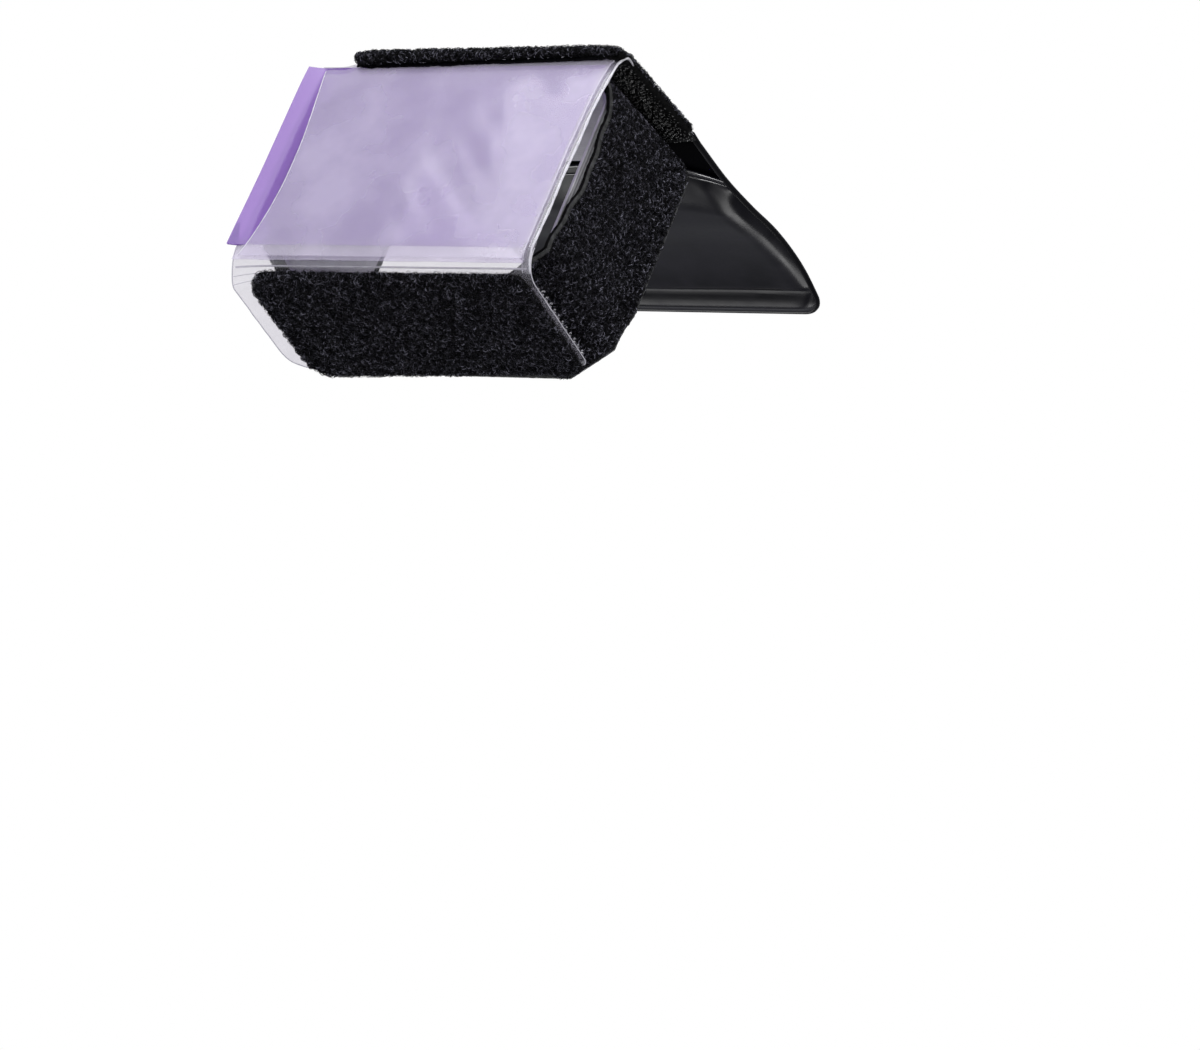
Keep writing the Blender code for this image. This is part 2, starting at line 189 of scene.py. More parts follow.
def add_mesh(name, points, faces, look):
    """A smooth mesh object from points in millimetres and faces of one size."""
    points, faces = np.asarray(points, float) * MM, np.asarray(faces, np.int32)
    mesh = bpy.data.meshes.new(name)
    mesh.vertices.add(len(points))
    mesh.vertices.foreach_set("co", points.ravel())
    mesh.loops.add(faces.size)
    mesh.loops.foreach_set("vertex_index", faces.ravel())
    mesh.polygons.add(len(faces))
    mesh.polygons.foreach_set("loop_start", np.arange(0, faces.size, faces.shape[1]))
    mesh.polygons.foreach_set("use_smooth", np.full(len(faces), True))
    mesh.update(calc_edges=True)
    mesh.materials.append(look)
    made = bpy.data.objects.new(name, mesh)
    bpy.context.scene.collection.objects.link(made)
    return made


def grid_faces(rows, cols, start=0, wrap=False):
    index = np.arange(rows * cols).reshape(rows, cols) + start
    if wrap:
        index = np.concatenate([index, index[:, :1]], 1)
    a, b, c, d = index[:-1, :-1], index[1:, :-1], index[1:, 1:], index[:-1, 1:]
    return np.stack([a, b, c, d], -1).reshape(-1, 4)


def grid_normals(points):
    along = np.gradient(points, axis=0)
    across = np.gradient(points, axis=1)
    return unit(np.cross(along, across))


def shell_parts(points, thickness, start=0):
    """Points and faces of a closed sheet round a grid; thickness may be a number or a grid."""
    rows, cols = points.shape[:2]
    half = grid_normals(points) * np.asarray(thickness)[..., None] / 2
    count = rows * cols
    outer = grid_faces(rows, cols)
    inner = outer[:, ::-1] + count
    index = np.arange(count).reshape(rows, cols)
    loop = np.concatenate([index[0, :-1], index[:-1, -1], index[-1, :0:-1], index[:0:-1, 0]])
    after = np.roll(loop, -1)
    rim = np.stack([loop, after, after + count, loop + count], -1)
    made = np.concatenate([(points + half).reshape(-1, 3), (points - half).reshape(-1, 3)])
    return made, np.concatenate([outer, inner, rim]) + start


def shell(name, points, thickness, look, smooth_angle=50):
    made = add_mesh(name, *shell_parts(points, thickness), look)
    made.data.set_sharp_from_angle(angle=math.radians(smooth_angle))
    return made


def tube_parts(paths, radius, sides, start=0):
    """Points and faces of round bars along paths, an array (bars, steps, 3), all at once."""
    bars, steps = paths.shape[:2]
    along = unit(np.gradient(paths, axis=1))
    guide = np.where(np.abs(along[:, :1, 2:]) > 0.9, [[[1.0, 0, 0]]], [[[0, 0, 1.0]]])
    side = unit(np.cross(along, np.broadcast_to(guide, along.shape)))
    other = np.cross(along, side)
    turns = np.arange(sides) * 2 * PI / sides
    radius = np.broadcast_to(np.asarray(radius, float), (bars, steps))
    ring = side[:, :, None] * np.cos(turns)[:, None] + other[:, :, None] * np.sin(turns)[:, None]
    made = paths[:, :, None] + ring * radius[:, :, None, None]
    faces = grid_faces(steps, sides, wrap=True)
    offsets = np.arange(bars)[:, None, None] * steps * sides
    walls = (faces[None, :, ::-1] + offsets).reshape(-1, 4)
    ends = []
    if sides == 4:
        first, last = np.arange(4), np.arange(4)[::-1] + (steps - 1) * 4
        ends = [(cap[None] + offsets[:, 0]).reshape(-1, 4) for cap in (first, last)]
    return made.reshape(-1, 3), np.concatenate([walls] + ends) + start


def tubes(name, paths, radius, look, sides=4):
    return add_mesh(name, *tube_parts(np.asarray(paths, float), radius, sides), look)


def join_parts(name, parts, look):
    """One object from several (points, faces) made with start=0."""
    points, faces, count = [], [], 0
    for made, found in parts:
        points.append(made)
        faces.append(found + count)
        count += len(made)
    return add_mesh(name, np.concatenate(points), np.concatenate(faces), look)


def outer_face(points, normals, side, thickness):
    """A thick sheet's face on one side, turned so that its own normals point out of it."""
    face = points + normals * side * thickness / 2
    return face if side > 0 else face[:, ::-1]


def sample(points, count, rng, keep=None):
    """Random places on a grid surface, with the normals there; keep drops some by (u, v)."""
    rows, cols = points.shape[:2]
    normals = grid_normals(points)
    a, b = points[:-1, :-1], points[1:, :-1]
    c, d = points[:-1, 1:], points[1:, 1:]
    area = np.linalg.norm(np.cross(d - a, c - b), axis=2) / 2
    pick = rng.choice(area.size, count, p=area.ravel() / area.sum())
    i, j = np.unravel_index(pick, area.shape)
    s, t = rng.random((2, count, 1))
    if keep is not None:
        kept = keep((i + s[:, 0]) / (rows - 1), (j + t[:, 0]) / (cols - 1), rng)
        i, j, s, t = i[kept], j[kept], s[kept], t[kept]

    def blend_at(grid):
        low = grid[i, j] * (1 - s) + grid[i + 1, j] * s
        high = grid[i, j + 1] * (1 - s) + grid[i + 1, j + 1] * s
        return low * (1 - t) + high * t

    return blend_at(points), unit(blend_at(normals))


def nap(name, places, normals, look, seed, height=0.75, span=1.2, width=0.12, steps=4):
    """Curly loops of fine yarn standing on a surface, each a bent ribbon with its feet sunk in."""
    sunk = 0.12
    rng = np.random.default_rng(seed)
    count = len(places)
    rough = unit(rng.normal(size=(count, 3)))
    lean = unit(rough - normals * np.sum(rough * normals, 1, keepdims=True))
    turn = np.cross(normals, lean)
    high = height * rng.uniform(0.35, 1.25, (count, 1)) ** 1.2
    wide = span * rng.uniform(0.4, 1.3, (count, 1))
    curl = wide * rng.uniform(-0.5, 0.5, (count, 1))
    phase = rng.uniform(0.2, 0.6, (count, 1))
    rows = []
    for t in np.arange(steps + 1) / steps:
        rise = np.sin(PI * t * (0.75 + 0.3 * phase)) * high - sunk
        drift = lean * wide * (t - 0.5 + 0.12 * np.sin(2 * PI * (t + phase)))
        rows.append(places + normals * rise + drift + turn * curl * np.sin(PI * t + phase))
    line = np.stack(rows, 1)
    along = unit(np.gradient(line, axis=1))
    flat = unit(np.cross(along, unit(rng.normal(size=(count, 1, 3)))))
    fat = width * rng.uniform(0.7, 1.3, (count, 1, 1)) * np.ones((1, steps + 1, 1))
    left, right = line - flat * fat / 2, line + flat * fat / 2
    points = np.stack([left, right], 2).reshape(-1, 3)
    base = np.arange(count)[:, None, None] * 2 * (steps + 1)
    step = np.arange(steps)[:, None] * 2
    quads = base + (step + np.array([0, 2, 3, 1]))[None]
    return add_mesh(name, points, quads.reshape(-1, 4), look)


def hooks(name, places, up, along, look, size, seed, steps=6):
    """Small bent hooks in rows, each leaning one way and curling back at its tip. size is
    their height and radius."""
    height, radius = size
    rng = np.random.default_rng(seed)
    count = len(places)
    normals = np.tile(up, (count, 1))
    swing = rng.normal(scale=0.25, size=(count, 1))
    across = np.cross(normals, along)
    lean = unit(along * np.cos(swing) + across * np.sin(swing))
    high = height * rng.uniform(0.85, 1.1, (count, 1))
    rows = []
    for t in np.arange(steps + 1) / steps:
        turn = PI * 1.25 * t
        rise = np.sin(min(turn, PI / 2)) * 0.72 + (0.28 * math.sin(max(turn - PI / 2, 0) * 1.6))
        drift = 0.42 * (1 - math.cos(turn))
        rows.append(places + normals * high * rise + lean * high * (drift - 0.3))
    taper = np.linspace(1.15, 0.7, steps + 1)[None] * radius
    return tubes(name, np.stack(rows, 1), np.repeat(taper, count, 0), look)


# ---------------- materials


class Nodes:
    """Short helper for wiring a material's nodes."""

    def __init__(self, name):
        self.material = bpy.data.materials.new(name)
        self.material.use_nodes = True
        self.tree = self.material.node_tree
        self.tree.nodes.clear()
        self.out = self.add("OutputMaterial")

    def add(self, kind, **values):
        """A node; values are its inputs' constants, with _ for a space."""
        node = self.tree.nodes.new("ShaderNode" + kind)
        for key, value in values.items():
            node.inputs[key.replace("_", " ")].default_value = value
        return node

    def link(self, source, target):
        self.tree.links.new(source, target)

    def shader(self, color, roughness, gloss):
        values = {"Base_Color": (*color, 1), "Roughness": roughness, "Specular_IOR_Level": gloss}
        return self.add("BsdfPrincipled", **values)

    def noise(self, scale, detail=3.0, roughness=0.6):
        node = self.add("TexNoise", Scale=scale, Detail=detail, Roughness=roughness)
        self.link(self.add("TexCoord").outputs["Object"], node.inputs["Vector"])
        return node.outputs["Fac"]

    def island(self):
        """A random value for each yarn or hook."""
        return self.add("NewGeometry").outputs["Random Per Island"]

    def ramp(self, source, *stops):
        """stops are (position, colour or grey)."""
        node = self.add("ValToRGB")
        bar = node.color_ramp
        while len(bar.elements) < len(stops):
            bar.elements.new(0.5)
        for element, (place, value) in zip(bar.elements, stops):
            element.position = place
            tone = value if hasattr(value, "__len__") else (value,) * 3
            element.color = (*tone, 1)
        self.link(source, node.inputs["Fac"])
        return node.outputs["Color"]

    def paint(self, shader, source, *stops, into="Base Color"):
        self.link(self.ramp(source, *stops), shader.inputs[into])

    def bump(self, shader, height, strength, distance):
        node = self.add("Bump", Strength=strength, Distance=distance)
        self.link(height, node.inputs["Height"])
        self.link(node.outputs["Normal"], shader.inputs["Normal"])

    def mix(self, first, second):
        """Mixes two shaders; the node's Fac is the second one's share."""
        node = self.add("MixShader")
        self.link(first.outputs[0], node.inputs[1])
        self.link(second.outputs[0], node.inputs[2])
        return node

    def sum(self, source, kind, *others):
        """A sum on a value: its other inputs are constants."""
        node = self.add("Math")
        node.operation = kind
        self.link(source, node.inputs[0])
        for place, value in enumerate(others, 1):
            node.inputs[place].default_value = value
        return node.outputs[0]

    def done(self, shader):
        self.link(shader.outputs[0], self.out.inputs["Surface"])
        return self.material


def nap_ground_look():
    """The knitted ground under the loops: black, matt, with uneven tufts."""
    n = Nodes("nap_ground")
    shader = n.shader((0.003, 0.003, 0.0035), 0.95, 0.06)
    tufts = n.noise(1400, 4, 0.7)
    n.paint(shader, tufts, (0.35, 0.0015), (0.75, 0.007))
    n.bump(shader, tufts, 1.0, 0.0006)
    return n.done(shader)


def nap_fibre_look():
    """Nylon loops: near black, with single yarns painted pale as glints."""
    n = Nodes("nap_fibre")
    shader = n.shader((0.012, 0.012, 0.014), 0.5, 0.13)
    dark, dull = (0.0011, 0.0010, 0.0016), (0.002, 0.0019, 0.003)
    # pale is a painted glint on a few single yarns; dark, dull and grey are near-black tones that
    # vary at random.
    grey, pale = (0.009, 0.0085, 0.0125), (0.24, 0.235, 0.29)
    n.paint(shader, n.island(), (0.0, dark), (0.55, dull), (0.8, grey), (1.0, pale))
    n.paint(shader, n.noise(900), (0.3, 0.62), (0.7, 0.4), into="Roughness")
    return n.done(shader)


def selvage_look():
    """The tape's bare woven edge, its cords painted greyer than its pile: a painted sheen."""
    n = Nodes("selvage")
    shader = n.shader((0.03, 0.03, 0.033), 0.55, 0.3)
    # The cords' grey is painted sheen, uneven along the edge.
    n.paint(shader, n.noise(700, 3), (0.3, 0.02), (0.75, 0.10))
    n.bump(shader, n.noise(5200, 2), 0.5, 0.0001)
    return n.done(shader)


def lining_look():
    """Pale grey non-slip lining with a dusty, uneven finish."""
    n = Nodes("grip_lining")
    shader = n.shader((0.55, 0.54, 0.56), 0.72, 0.3)
    n.paint(shader, n.noise(160, 5), (0.3, (0.47, 0.46, 0.48)), (0.7, (0.60, 0.59, 0.61)))
    n.bump(shader, n.noise(3000, 3), 0.4, 0.0001)
    return n.done(shader)


def hook_look(name, gloss):
    """Black hook tape: shiny little hooks on a tight weave, a few of them painted lighter as
    glints.
    """
    n = Nodes(name)
    shader = n.shader((0.012, 0.012, 0.014), 0.28, gloss)
    # The ramp's top paints some hooks lighter: painted glints. The rest stay near black.
    n.paint(shader, n.island(), (0.0, 0.001), (0.7, 0.003), (1.0, 0.05))
    n.paint(shader, n.island(), (0.3, 0.3), (0.9, 0.12), into="Roughness")
    n.bump(shader, n.noise(4000, 2), 0.3, 0.0001)
    return n.done(shader)


def clear_look(name, tones, haze, roughness, gloss, cloud_scale=60, cloud=0.05):
    """Clear sheet: mostly see-through, milky by its haze, which varies by cloud, with a gloss
    that grows at grazing angles. tones are what shines through, and its milk's colour."""
    n = Nodes(name)
    tint, milky = [(*tone, 1) for tone in tones]
    milk = n.mix(n.add("BsdfTranslucent", Color=milky), n.add("BsdfDiffuse", Color=milky))
    milk.inputs["Fac"].default_value = 0.72
    body = n.mix(n.add("BsdfTransparent", Color=tint), milk)
    low, high = max(haze - cloud, 0.0), haze + cloud
    n.paint(body, n.noise(cloud_scale, 3, 0.5), (0.35, low), (0.7, high), into="Fac")
    skin = n.mix(body, n.add("BsdfGlossy", Roughness=roughness))
    angle = n.add("LayerWeight", Blend=0.5).outputs["Facing"]
    edge = n.sum(n.sum(angle, "POWER", 4.0), "MULTIPLY_ADD", 1 - gloss, gloss)
    n.link(edge, skin.inputs["Fac"])
    return n.done(skin)


def vinyl_look(name, roughness, crease, gloss, depth=0.12):
    """Soft glossy black vinyl with fine creases and a slight haze."""
    n = Nodes(name)
    shader = n.shader((0.001, 0.001, 0.0015), roughness, gloss)
    haze = n.noise(90, 4)
    n.paint(shader, haze, (0.3, (0.0006, 0.0006, 0.001)), (0.75, (0.0016, 0.0015, 0.0023)))
    n.paint(shader, haze, (0.3, roughness - 0.05), (0.75, roughness + 0.1), into="Roughness")
    n.bump(shader, n.noise(crease, 3), depth, 0.0004)
    return n.done(shader)


def thread_look():
    """Black twisted thread."""
    n = Nodes("thread")
    shader = n.shader((0.02, 0.02, 0.022), 0.55, 0.5)
    twist = n.noise(2500, 2)
    n.paint(shader, twist, (0.35, 0.008), (0.7, 0.04))
    n.bump(shader, twist, 0.6, 0.0001)
    return n.done(shader)


def floor_look():
    """A plain pale floor."""
    n = Nodes("floor")
    shader = n.shader((0.9, 0.9, 0.9), 0.95, 0.1)
    n.paint(shader, n.noise(0.8, 2), (0.3, 0.9), (0.7, 0.93))
    return n.done(shader)


# The clear sheets: the tint of what shines through, and the colour of their milkiness
WINDOW_TONES = (0.94, 0.925, 0.965), (0.93, 0.88, 1.0)
FLAP_TONES = (0.90, 0.89, 0.915), (0.88, 0.86, 0.92)
GEL_TONES = (0.62, 0.45, 0.80), (0.34, 0.19, 0.57)
BEAD_TONES = (0.93, 0.92, 0.96), (0.95, 0.93, 0.99)

look = {
    "ground": nap_ground_look(),
    "fibre": nap_fibre_look(),
    "selvage": selvage_look(),
    "lining": lining_look(),
    "hook": hook_look("black_hook", 0.5),
    "hook_ground": hook_look("black_hook_ground", 0.06),
    "window": clear_look("pocket_film", WINDOW_TONES, haze=0.26, roughness=0.10, gloss=0.02),
    "film": clear_look("clear_film", FLAP_TONES, haze=0.09, roughness=0.10, gloss=0.06),
    "gel": clear_look("purple_gel", GEL_TONES, haze=0.5, roughness=0.14, gloss=0.04),
    "bead": clear_look("clear_bead", BEAD_TONES, 0.45, 0.12, 0.16, cloud_scale=400, cloud=0.12),
    "vinyl": vinyl_look("black_vinyl", roughness=0.24, crease=60, gloss=0.05),
    "vinyl_inner": vinyl_look("black_vinyl_inner", 0.33, 30, 0.035, depth=0.05),
    "vinyl_hem": vinyl_look("black_vinyl_hem", 0.2, 30, 0.2, depth=0.0),
    "vinyl_back": vinyl_look("black_vinyl_back", 0.4, 60, 0.004),
    "vinyl_bead": vinyl_look("black_vinyl_bead", 0.25, 30, 0.05, depth=0.0),
    "thread": thread_look(),
}


def fit_piece(piece, where, node=None):
    """Fits a piece to the frame. where is the body that it rides on, or two bodies and the start
    and end of a bend between them, in millimetres; the bodies and the bend are not used, and
    such a piece is only fixed where it stands. node is the CAD solid that it stands for."""
    if isinstance(where, str):
        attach(piece, where)
    else:
        bodies, start, end = where
        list(bodies)
        Vector(start) * MM
        Vector(end) * MM
        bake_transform(piece)
    if node:
        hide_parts(node)


# ---------------- the strap


def head_section(out, height):
    """The head's outline (x, z), out from it, from the strap's end on the left wall round
    underneath and back to the slit, as points at the same share of each stretch."""
    half = HEAD_HALF + out
    cut = HEAD_CHAMFER + out * (2 - math.sqrt(2))
    radius = HEAD_RADIUS + out
    side, top = half - radius, height + out
    lower = [(-half, cut - out), (cut - half, -out), (half - cut, -out), (half, cut - out)]
    right = arc(side, top - radius, radius, 0, 90, ARC_STEPS)
    left = arc(-side, top - radius, radius, 90, 180, ARC_STEPS)
    return [(-half, STRAP_END_Z)] + lower + right + left + [(-half, STRAP_END_Z + 1)]


def section_shares():
    """Where the left wall ends, the right wall begins and ends, and the top reaches the left
    corner, as shares of the strap's length."""
    steps = run_along(np.array(head_section(STRAP_OUT, HEAD_FRONT_TOP)))
    steps /= steps[-1]
    left_high, left_top = steps[2] + 0.012, steps[-1 - ARC_STEPS]
    right_low, right_high = steps[3] - 0.03, steps[5 + ARC_STEPS] + 0.012
    return left_high, (right_low, right_high), left_top


def side_wall(x):
    """1 on the head's side walls, 0 on its top and underside."""
    return ease(HEAD_HALF - 4, HEAD_HALF + 1, np.abs(x))


def strap_front(x, z):
    """The wavy front edge (y) of the tape: it draws back along the middle of each side wall."""
    wave = 3.9 * hump(z, 30, 15) + 0.35 * np.sin(z * 0.55)
    wave = wave + 1.3 * hump(z, 46, 5.0)
    return STRAP_LOW[1] - 1.2 * side_wall(x) + wave * side_wall(x)


def strap_rear(x, z):
    return STRAP_HIGH[1] - 0.8 + 2.2 * (side_wall(x) * ease(3, 12, z))


def wrap_surface(out, count, across, front=strap_front, rear=strap_rear, lump=0.0):
    """A grid round the head: rows follow the section, columns run from front to rear."""
    low = resample(head_section(out, HEAD_FRONT_TOP), count)
    high = resample(head_section(out, HEAD_REAR_TOP), count)
    y0, y1 = front(low[:, 0], low[:, 1]), rear(low[:, 0], low[:, 1])
    y = rows_between(y0, y1, across)
    t = (y - STRAP_LOW[1]) / STRAP_WIDTH
    x = low[:, :1] + (high - low)[:, :1] * t
    z = low[:, 1:] + (high - low)[:, 1:] * t
    points = np.stack([x, y, z], 2)
    if lump:
        along = np.arange(count)[:, None] * np.ones((1, across))
        along = along * np.linalg.norm(np.diff(low, axis=0), axis=1).mean()
        points = points + grid_normals(points) * (lump * ripple(along, y, TUFT, 3))[..., None]
    return points


def loop_length(points):
    return float(np.linalg.norm(np.diff(points[:, 0], axis=0), axis=1).sum())


def make_strap():
    tape = wrap_surface((STRAP_IN + STRAP_OUT) / 2 - 0.1, 360, 56, lump=LUMP)
    pinch = np.clip(1 - (tape[..., 1] - tape[:, :1, 1]) / 3.0, 0, 1) ** 2
    tape = tape - grid_normals(tape) * (pinch / 2)[..., None]
    made = shell("strap_tape", tape[:, ::-1], TAPE_THICK - pinch[:, ::-1], look["ground"])
    fit_piece(made, "strap", "strap")
    flat = (STRAP_WIDTH * MM, loop_length(tape) * MM)

    top = wrap_surface(STRAP_OUT - 0.25, 200, 40, lump=LUMP)[:, ::-1]
    rng = np.random.default_rng(11)
    left_high, right, left_top = section_shares()

    # Each wall's stretch of the section, the yarns drawn for it and its seed
    walls = {
        "strap_nap_right": (*right, 27000, 12),
        "strap_nap_right_fill": (*right, 27000, 15),
        "strap_nap_left": (0.0, left_high, 22000, 13),
        "strap_nap_crown": (left_top, 1.0, 10000, 14),
    }
    for name, (low, high, count, seed) in walls.items():

        def keep(u, v, rng, low=low, high=high):
            edge = rng.uniform(-0.004, 0.004, len(u))
            return (u + edge > low) & (u + edge < high) & (v < 0.968 + edge * 2) & (v > 0.02)

        total = int(count / max(high - low, 0.05))
        spots, normals = sample(top, min(total, 160000), rng, keep)
        limit = min(count // THIN, YARNS)
        made = nap(name, spots[:limit], normals[:limit], look["fibre"], seed)
        fit_piece(made, "strap")

    edge_ribs("strap_selvage_front", 0.0, 1.5)
    edge_ribs("strap_selvage_rear", 1.0, 1.6)


def edge_ribs(name, side, width):
    """The tape's woven edge: fine slanting cords, front (side 0) or rear (side 1)."""
    inner = wrap_surface(STRAP_OUT - RIB_DEPTH, 900, 24)
    run = run_along(inner[:, 0])
    starts = np.arange(0.5, run[-1] - 1.5, RIB_PITCH * THIN)
    normals = -grid_normals(inner)
    depth = inner[:, -1, 1] - inner[:, 0, 1]
    paths = []
    for t, lift in zip(np.arange(4) / 3, (0.02, 0.2, 0.2, 0.02)):
        row = np.interp(starts + 0.7 * t, run, np.arange(len(run)))
        i = np.clip(row.astype(int), 0, len(run) - 2)
        share = (row - i)[:, None]
        reach = (0.02 + width * t) / depth[i]
        col = (reach if side == 0 else 1 - reach) * (inner.shape[1] - 1)
        j = np.clip(col.astype(int), 0, inner.shape[1] - 2)
        part = (col - j)[:, None]
        low = inner[i, j] * (1 - part) + inner[i, j + 1] * part
        high = inner[i + 1, j] * (1 - part) + inner[i + 1, j + 1] * part
        paths.append(low * (1 - share) + high * share + normals[i, j] * lift)
    made = tubes(name, np.stack(paths, 1), 0.12, look["selvage"])
    fit_piece(made, "strap")


def make_lining():
    """A pale sheet inside the strap with fine ribs that run round the head."""
    across = 144

    def front(x, z):
        return LINING_LOW[1] + 0 * x

    def rear(x, z):
        return LINING_HIGH[1] + 0 * x

    sheet = wrap_surface(LINING_OUT / 2 + 0.05, 150, across, front, rear)[:, ::-1]
    ribs = 0.16 * np.cos(np.arange(across) * PI / 2)[None]
    sheet = sheet - grid_normals(sheet) * np.maximum(ribs, -0.05)[..., None]
    made = shell("strap_lining_ribs", sheet, LINING_THICK, look["lining"])
    fit_piece(made, "strap", "strap_lining")
    loop_length(sheet) * MM


def make_tail():
    """The strap's free end on the left wall, with its hook patch and box stitching."""
    inner, top, bottom, thick = PATCH_LOW[0] - 0.3, TAIL_HIGH[2], TAIL_LOW[2], 1.5
    root = -(HEAD_HALF + STRAP_OUT + 0.3)
    z = np.linspace(top - 0.4, bottom, 60)
    x = root - 1.0 - (root - inner) * ease(top - 1, top - 5, z)
    z_grid, y = plane(z, np.linspace(STRAP_LOW[1], STRAP_HIGH[1], 60))
    tip = 2.6 * (1 - dome((z - bottom) / 3))
    y = y * (1 - tip[:, None] / STRAP_HIGH[1])
    points = np.stack([x[:, None] + 0 * y, y, z_grid], 2)
    points[..., 0] -= 0.12 * ripple(y, z_grid, TUFT, 21)
    tape = shell("strap_tail_tape", points, thick, look["ground"])
    rng = np.random.default_rng(22)
    facing = grid_normals(points)
    outward = np.sign(-facing[30, 30, 0])
    face = outer_face(points, facing, outward, thick)

    def keep(u, v, rng):
        edge = rng.uniform(0, 0.03, len(u))
        return (v > 0.03 + edge) & (v < 0.97 - edge) & (u > 0.06) & (u < 0.985)

    spots, normals = sample(face, YARNS, rng, keep)
    fit_piece(tape, "strap_tail", "strap_tail")
    made = nap("strap_tail_nap", spots, normals, look["fibre"], 23)
    fit_piece(made, "strap_tail")
    make_tail_patch()
    make_tail_stitches()


def make_tail_patch():
    """The patch of hook tape on the tail's inner side."""
    low, high = PATCH_LOW, PATCH_HIGH
    base = low[0] + 0.25
    across, down = hook_places(low[1:], high[1:], 1.3, 1.5)
    places = np.stack([np.full(across.size, base + 0.2), across, down], 1)
    made = hooks("tail_hooks", places, (1.0, 0, 0), (0, 0, 1.0), look["hook"], HOOK, 24, 5)
    fit_piece(made, "strap_tail")
    z, y = plane(np.linspace(low[2], high[2], 30), np.linspace(low[1], high[1], 40))
    ground = np.stack([base + 0.05 * np.cos(y * 5), y, z], 2)
    made = shell("tail_hook_tape", ground, 0.4, look["hook"])
    fit_piece(made, "strap_tail", "tail_hook_patch")


def make_tail_stitches():
    """A box of stitches, each dipping into the tape at both ends."""
    x = THREAD_LOW[0] + 0.3
    (y0, z0), (y1, z1) = THREAD_LOW[1:], THREAD_HIGH[1:]
    corners = [(y0, z0), (y1, z0), (y1, z1), (y0, z1), (y0, z0)]
    first, last, length = 0.06, 0.9, 2.6
    paths = []
    for (y0, z0), (y1, z1) in zip(corners, corners[1:]):
        count = round(math.hypot(y1 - y0, z1 - z0) / length)
        for k in range(count):
            row = []
            for step in np.linspace(first, last, 6):
                t = (k + step) / count
                dip = 0.35 * abs(2 * (step - first) / (last - first) - 1) ** 3
                row.append((x + dip, y0 + (y1 - y0) * t, z0 + (z1 - z0) * t))
            paths.append(row)
    stitches = tubes("tail_stitches", paths, 0.24, look["thread"])
    fit_piece(stitches, "strap_tail", "tail_seam_thread")


def hook_places(low, high, pitch, row_pitch):
    """A staggered grid inside a rectangle, as two flat arrays."""
    first = np.arange(low[0] + 0.8, high[0] - 0.6, pitch)
    second = np.arange(low[1] + 0.8, high[1] - 0.6, row_pitch)
    a, b = plane(first, second)
    a = a + np.where(np.arange(len(second))[None] % 2, pitch / 2, 0)
    return a.ravel(), b.ravel()


# ---------------- the clear pocket


def window_y(z):
    """How far forward the pocket's back sheet stands at height z."""
    drop = np.maximum(FOLD_Z - z, 0)
    return WINDOW_TOP_Y + 2.4 - 2.9 * (1 - np.exp(-drop / 9)) - 0.016 * drop


# The bottom film's way from the window, round a soft roll and back under the head
ROLL_RADIUS = 6.0
ROLL_START = 2.4
ROLL_LENGTH = ROLL_RADIUS * PI / 2
FLAP_REAR = BOTTOM_HIGH[1]
FLAP_Z = (BOTTOM_LOW[2] + BOTTOM_HIGH[2]) / 2
ROLL_TOP_Z = FLAP_Z + ROLL_RADIUS
ROLL_Y = float(window_y(ROLL_TOP_Z)) - 0.3
FLAP_TOTAL = ROLL_START + ROLL_LENGTH + FLAP_REAR - (ROLL_Y + ROLL_RADIUS)
FLAP_WIDTH = EDGE_HIGH[0] - WINDOW_LOW[0]
FLAP_SKEW = 4.5  # the flap is shorter by this at its right
FLAP_CORNERS = 8.0, 3.0  # the radii of its rear corners, left and right
PAD_CORNERS = 7.0, 3.0  # those of its loop pad
PAD_FRONT_CORNER = 4.5

# The edge weld's ridges: x, radius, and how far forward of the films they stand
EDGE_RIDGES = ((EDGE_HIGH[0] - 0.3, 0.34, 0.1), (EDGE_LOW[0], 0.16, 0.35))
CURL_DROP = 0.9  # how far below the films' top the ridges begin to turn back

# The films' thickness and place, and the bends at the pocket's two folds
FILM_THICK, BACK_THICK, FRONT_THICK, GEL_THICK = 0.25, 0.22, 0.24, 0.12
FILM_LOW, FILM_HIGH, FILM_RIGHT = WINDOW_LOW[2] + 2.0, WINDOW_HIGH[2], EDGE_LOW[0] + 0.4
WINDOW_BEND = ("strap", "window"), (0, 0, FILM_HIGH + 0.2), (0, 0, FILM_HIGH - 1.5)
BOTTOM_BEND = ("bottom_flap", "window"), (0, ROLL_Y + 7, FLAP_Z), (0, ROLL_Y - 0.2, ROLL_TOP_Z + 1)


def bottom_path(s, x, out=0.0):
    """(y, z) at distance s along the bottom film, at x; out is away from the head."""
    s, x = np.broadcast_arrays(np.asarray(s, float), np.asarray(x, float))
    s = s - FLAP_SKEW * (s / FLAP_TOTAL) ** 2 * (x - WINDOW_LOW[0]) / FLAP_WIDTH
    turn = np.clip((s - ROLL_START) / ROLL_RADIUS, 0, PI / 2)
    reach = ROLL_RADIUS + out
    y = ROLL_Y + ROLL_RADIUS - reach * np.cos(turn)
    z = ROLL_TOP_Z - reach * np.sin(turn)
    z = z + np.maximum(ROLL_START - s, 0)
    y = y + np.maximum(s - ROLL_START - ROLL_LENGTH, 0)
    left = np.clip((-31 - x) / (-31 - WINDOW_LOW[0]), 0, 1)
    tail = ease(FLAP_REAR + 2, FLAP_REAR - 12, y)
    sag = 2.6 * left**2 * np.sin(turn) ** 4 * (0.35 + 0.65 * tail)
    return y, z - sag


def mouth(z):
    """The front sheet's left edge: drawn back in a long shallow curve."""
    t = np.clip((z - WINDOW_LOW[2]) / (WINDOW_HIGH[2] - WINDOW_LOW[2]), 0, 1)
    return WINDOW_LOW[0] + 1.2 - 0.7 * t + 5.1 * np.maximum(np.sin(PI * t**0.85), 0) ** 0.9


def left_fall(x):
    """How far the film sinks at the fold's free left end."""
    return 2.2 * ease(-29.5, -37.5, x)


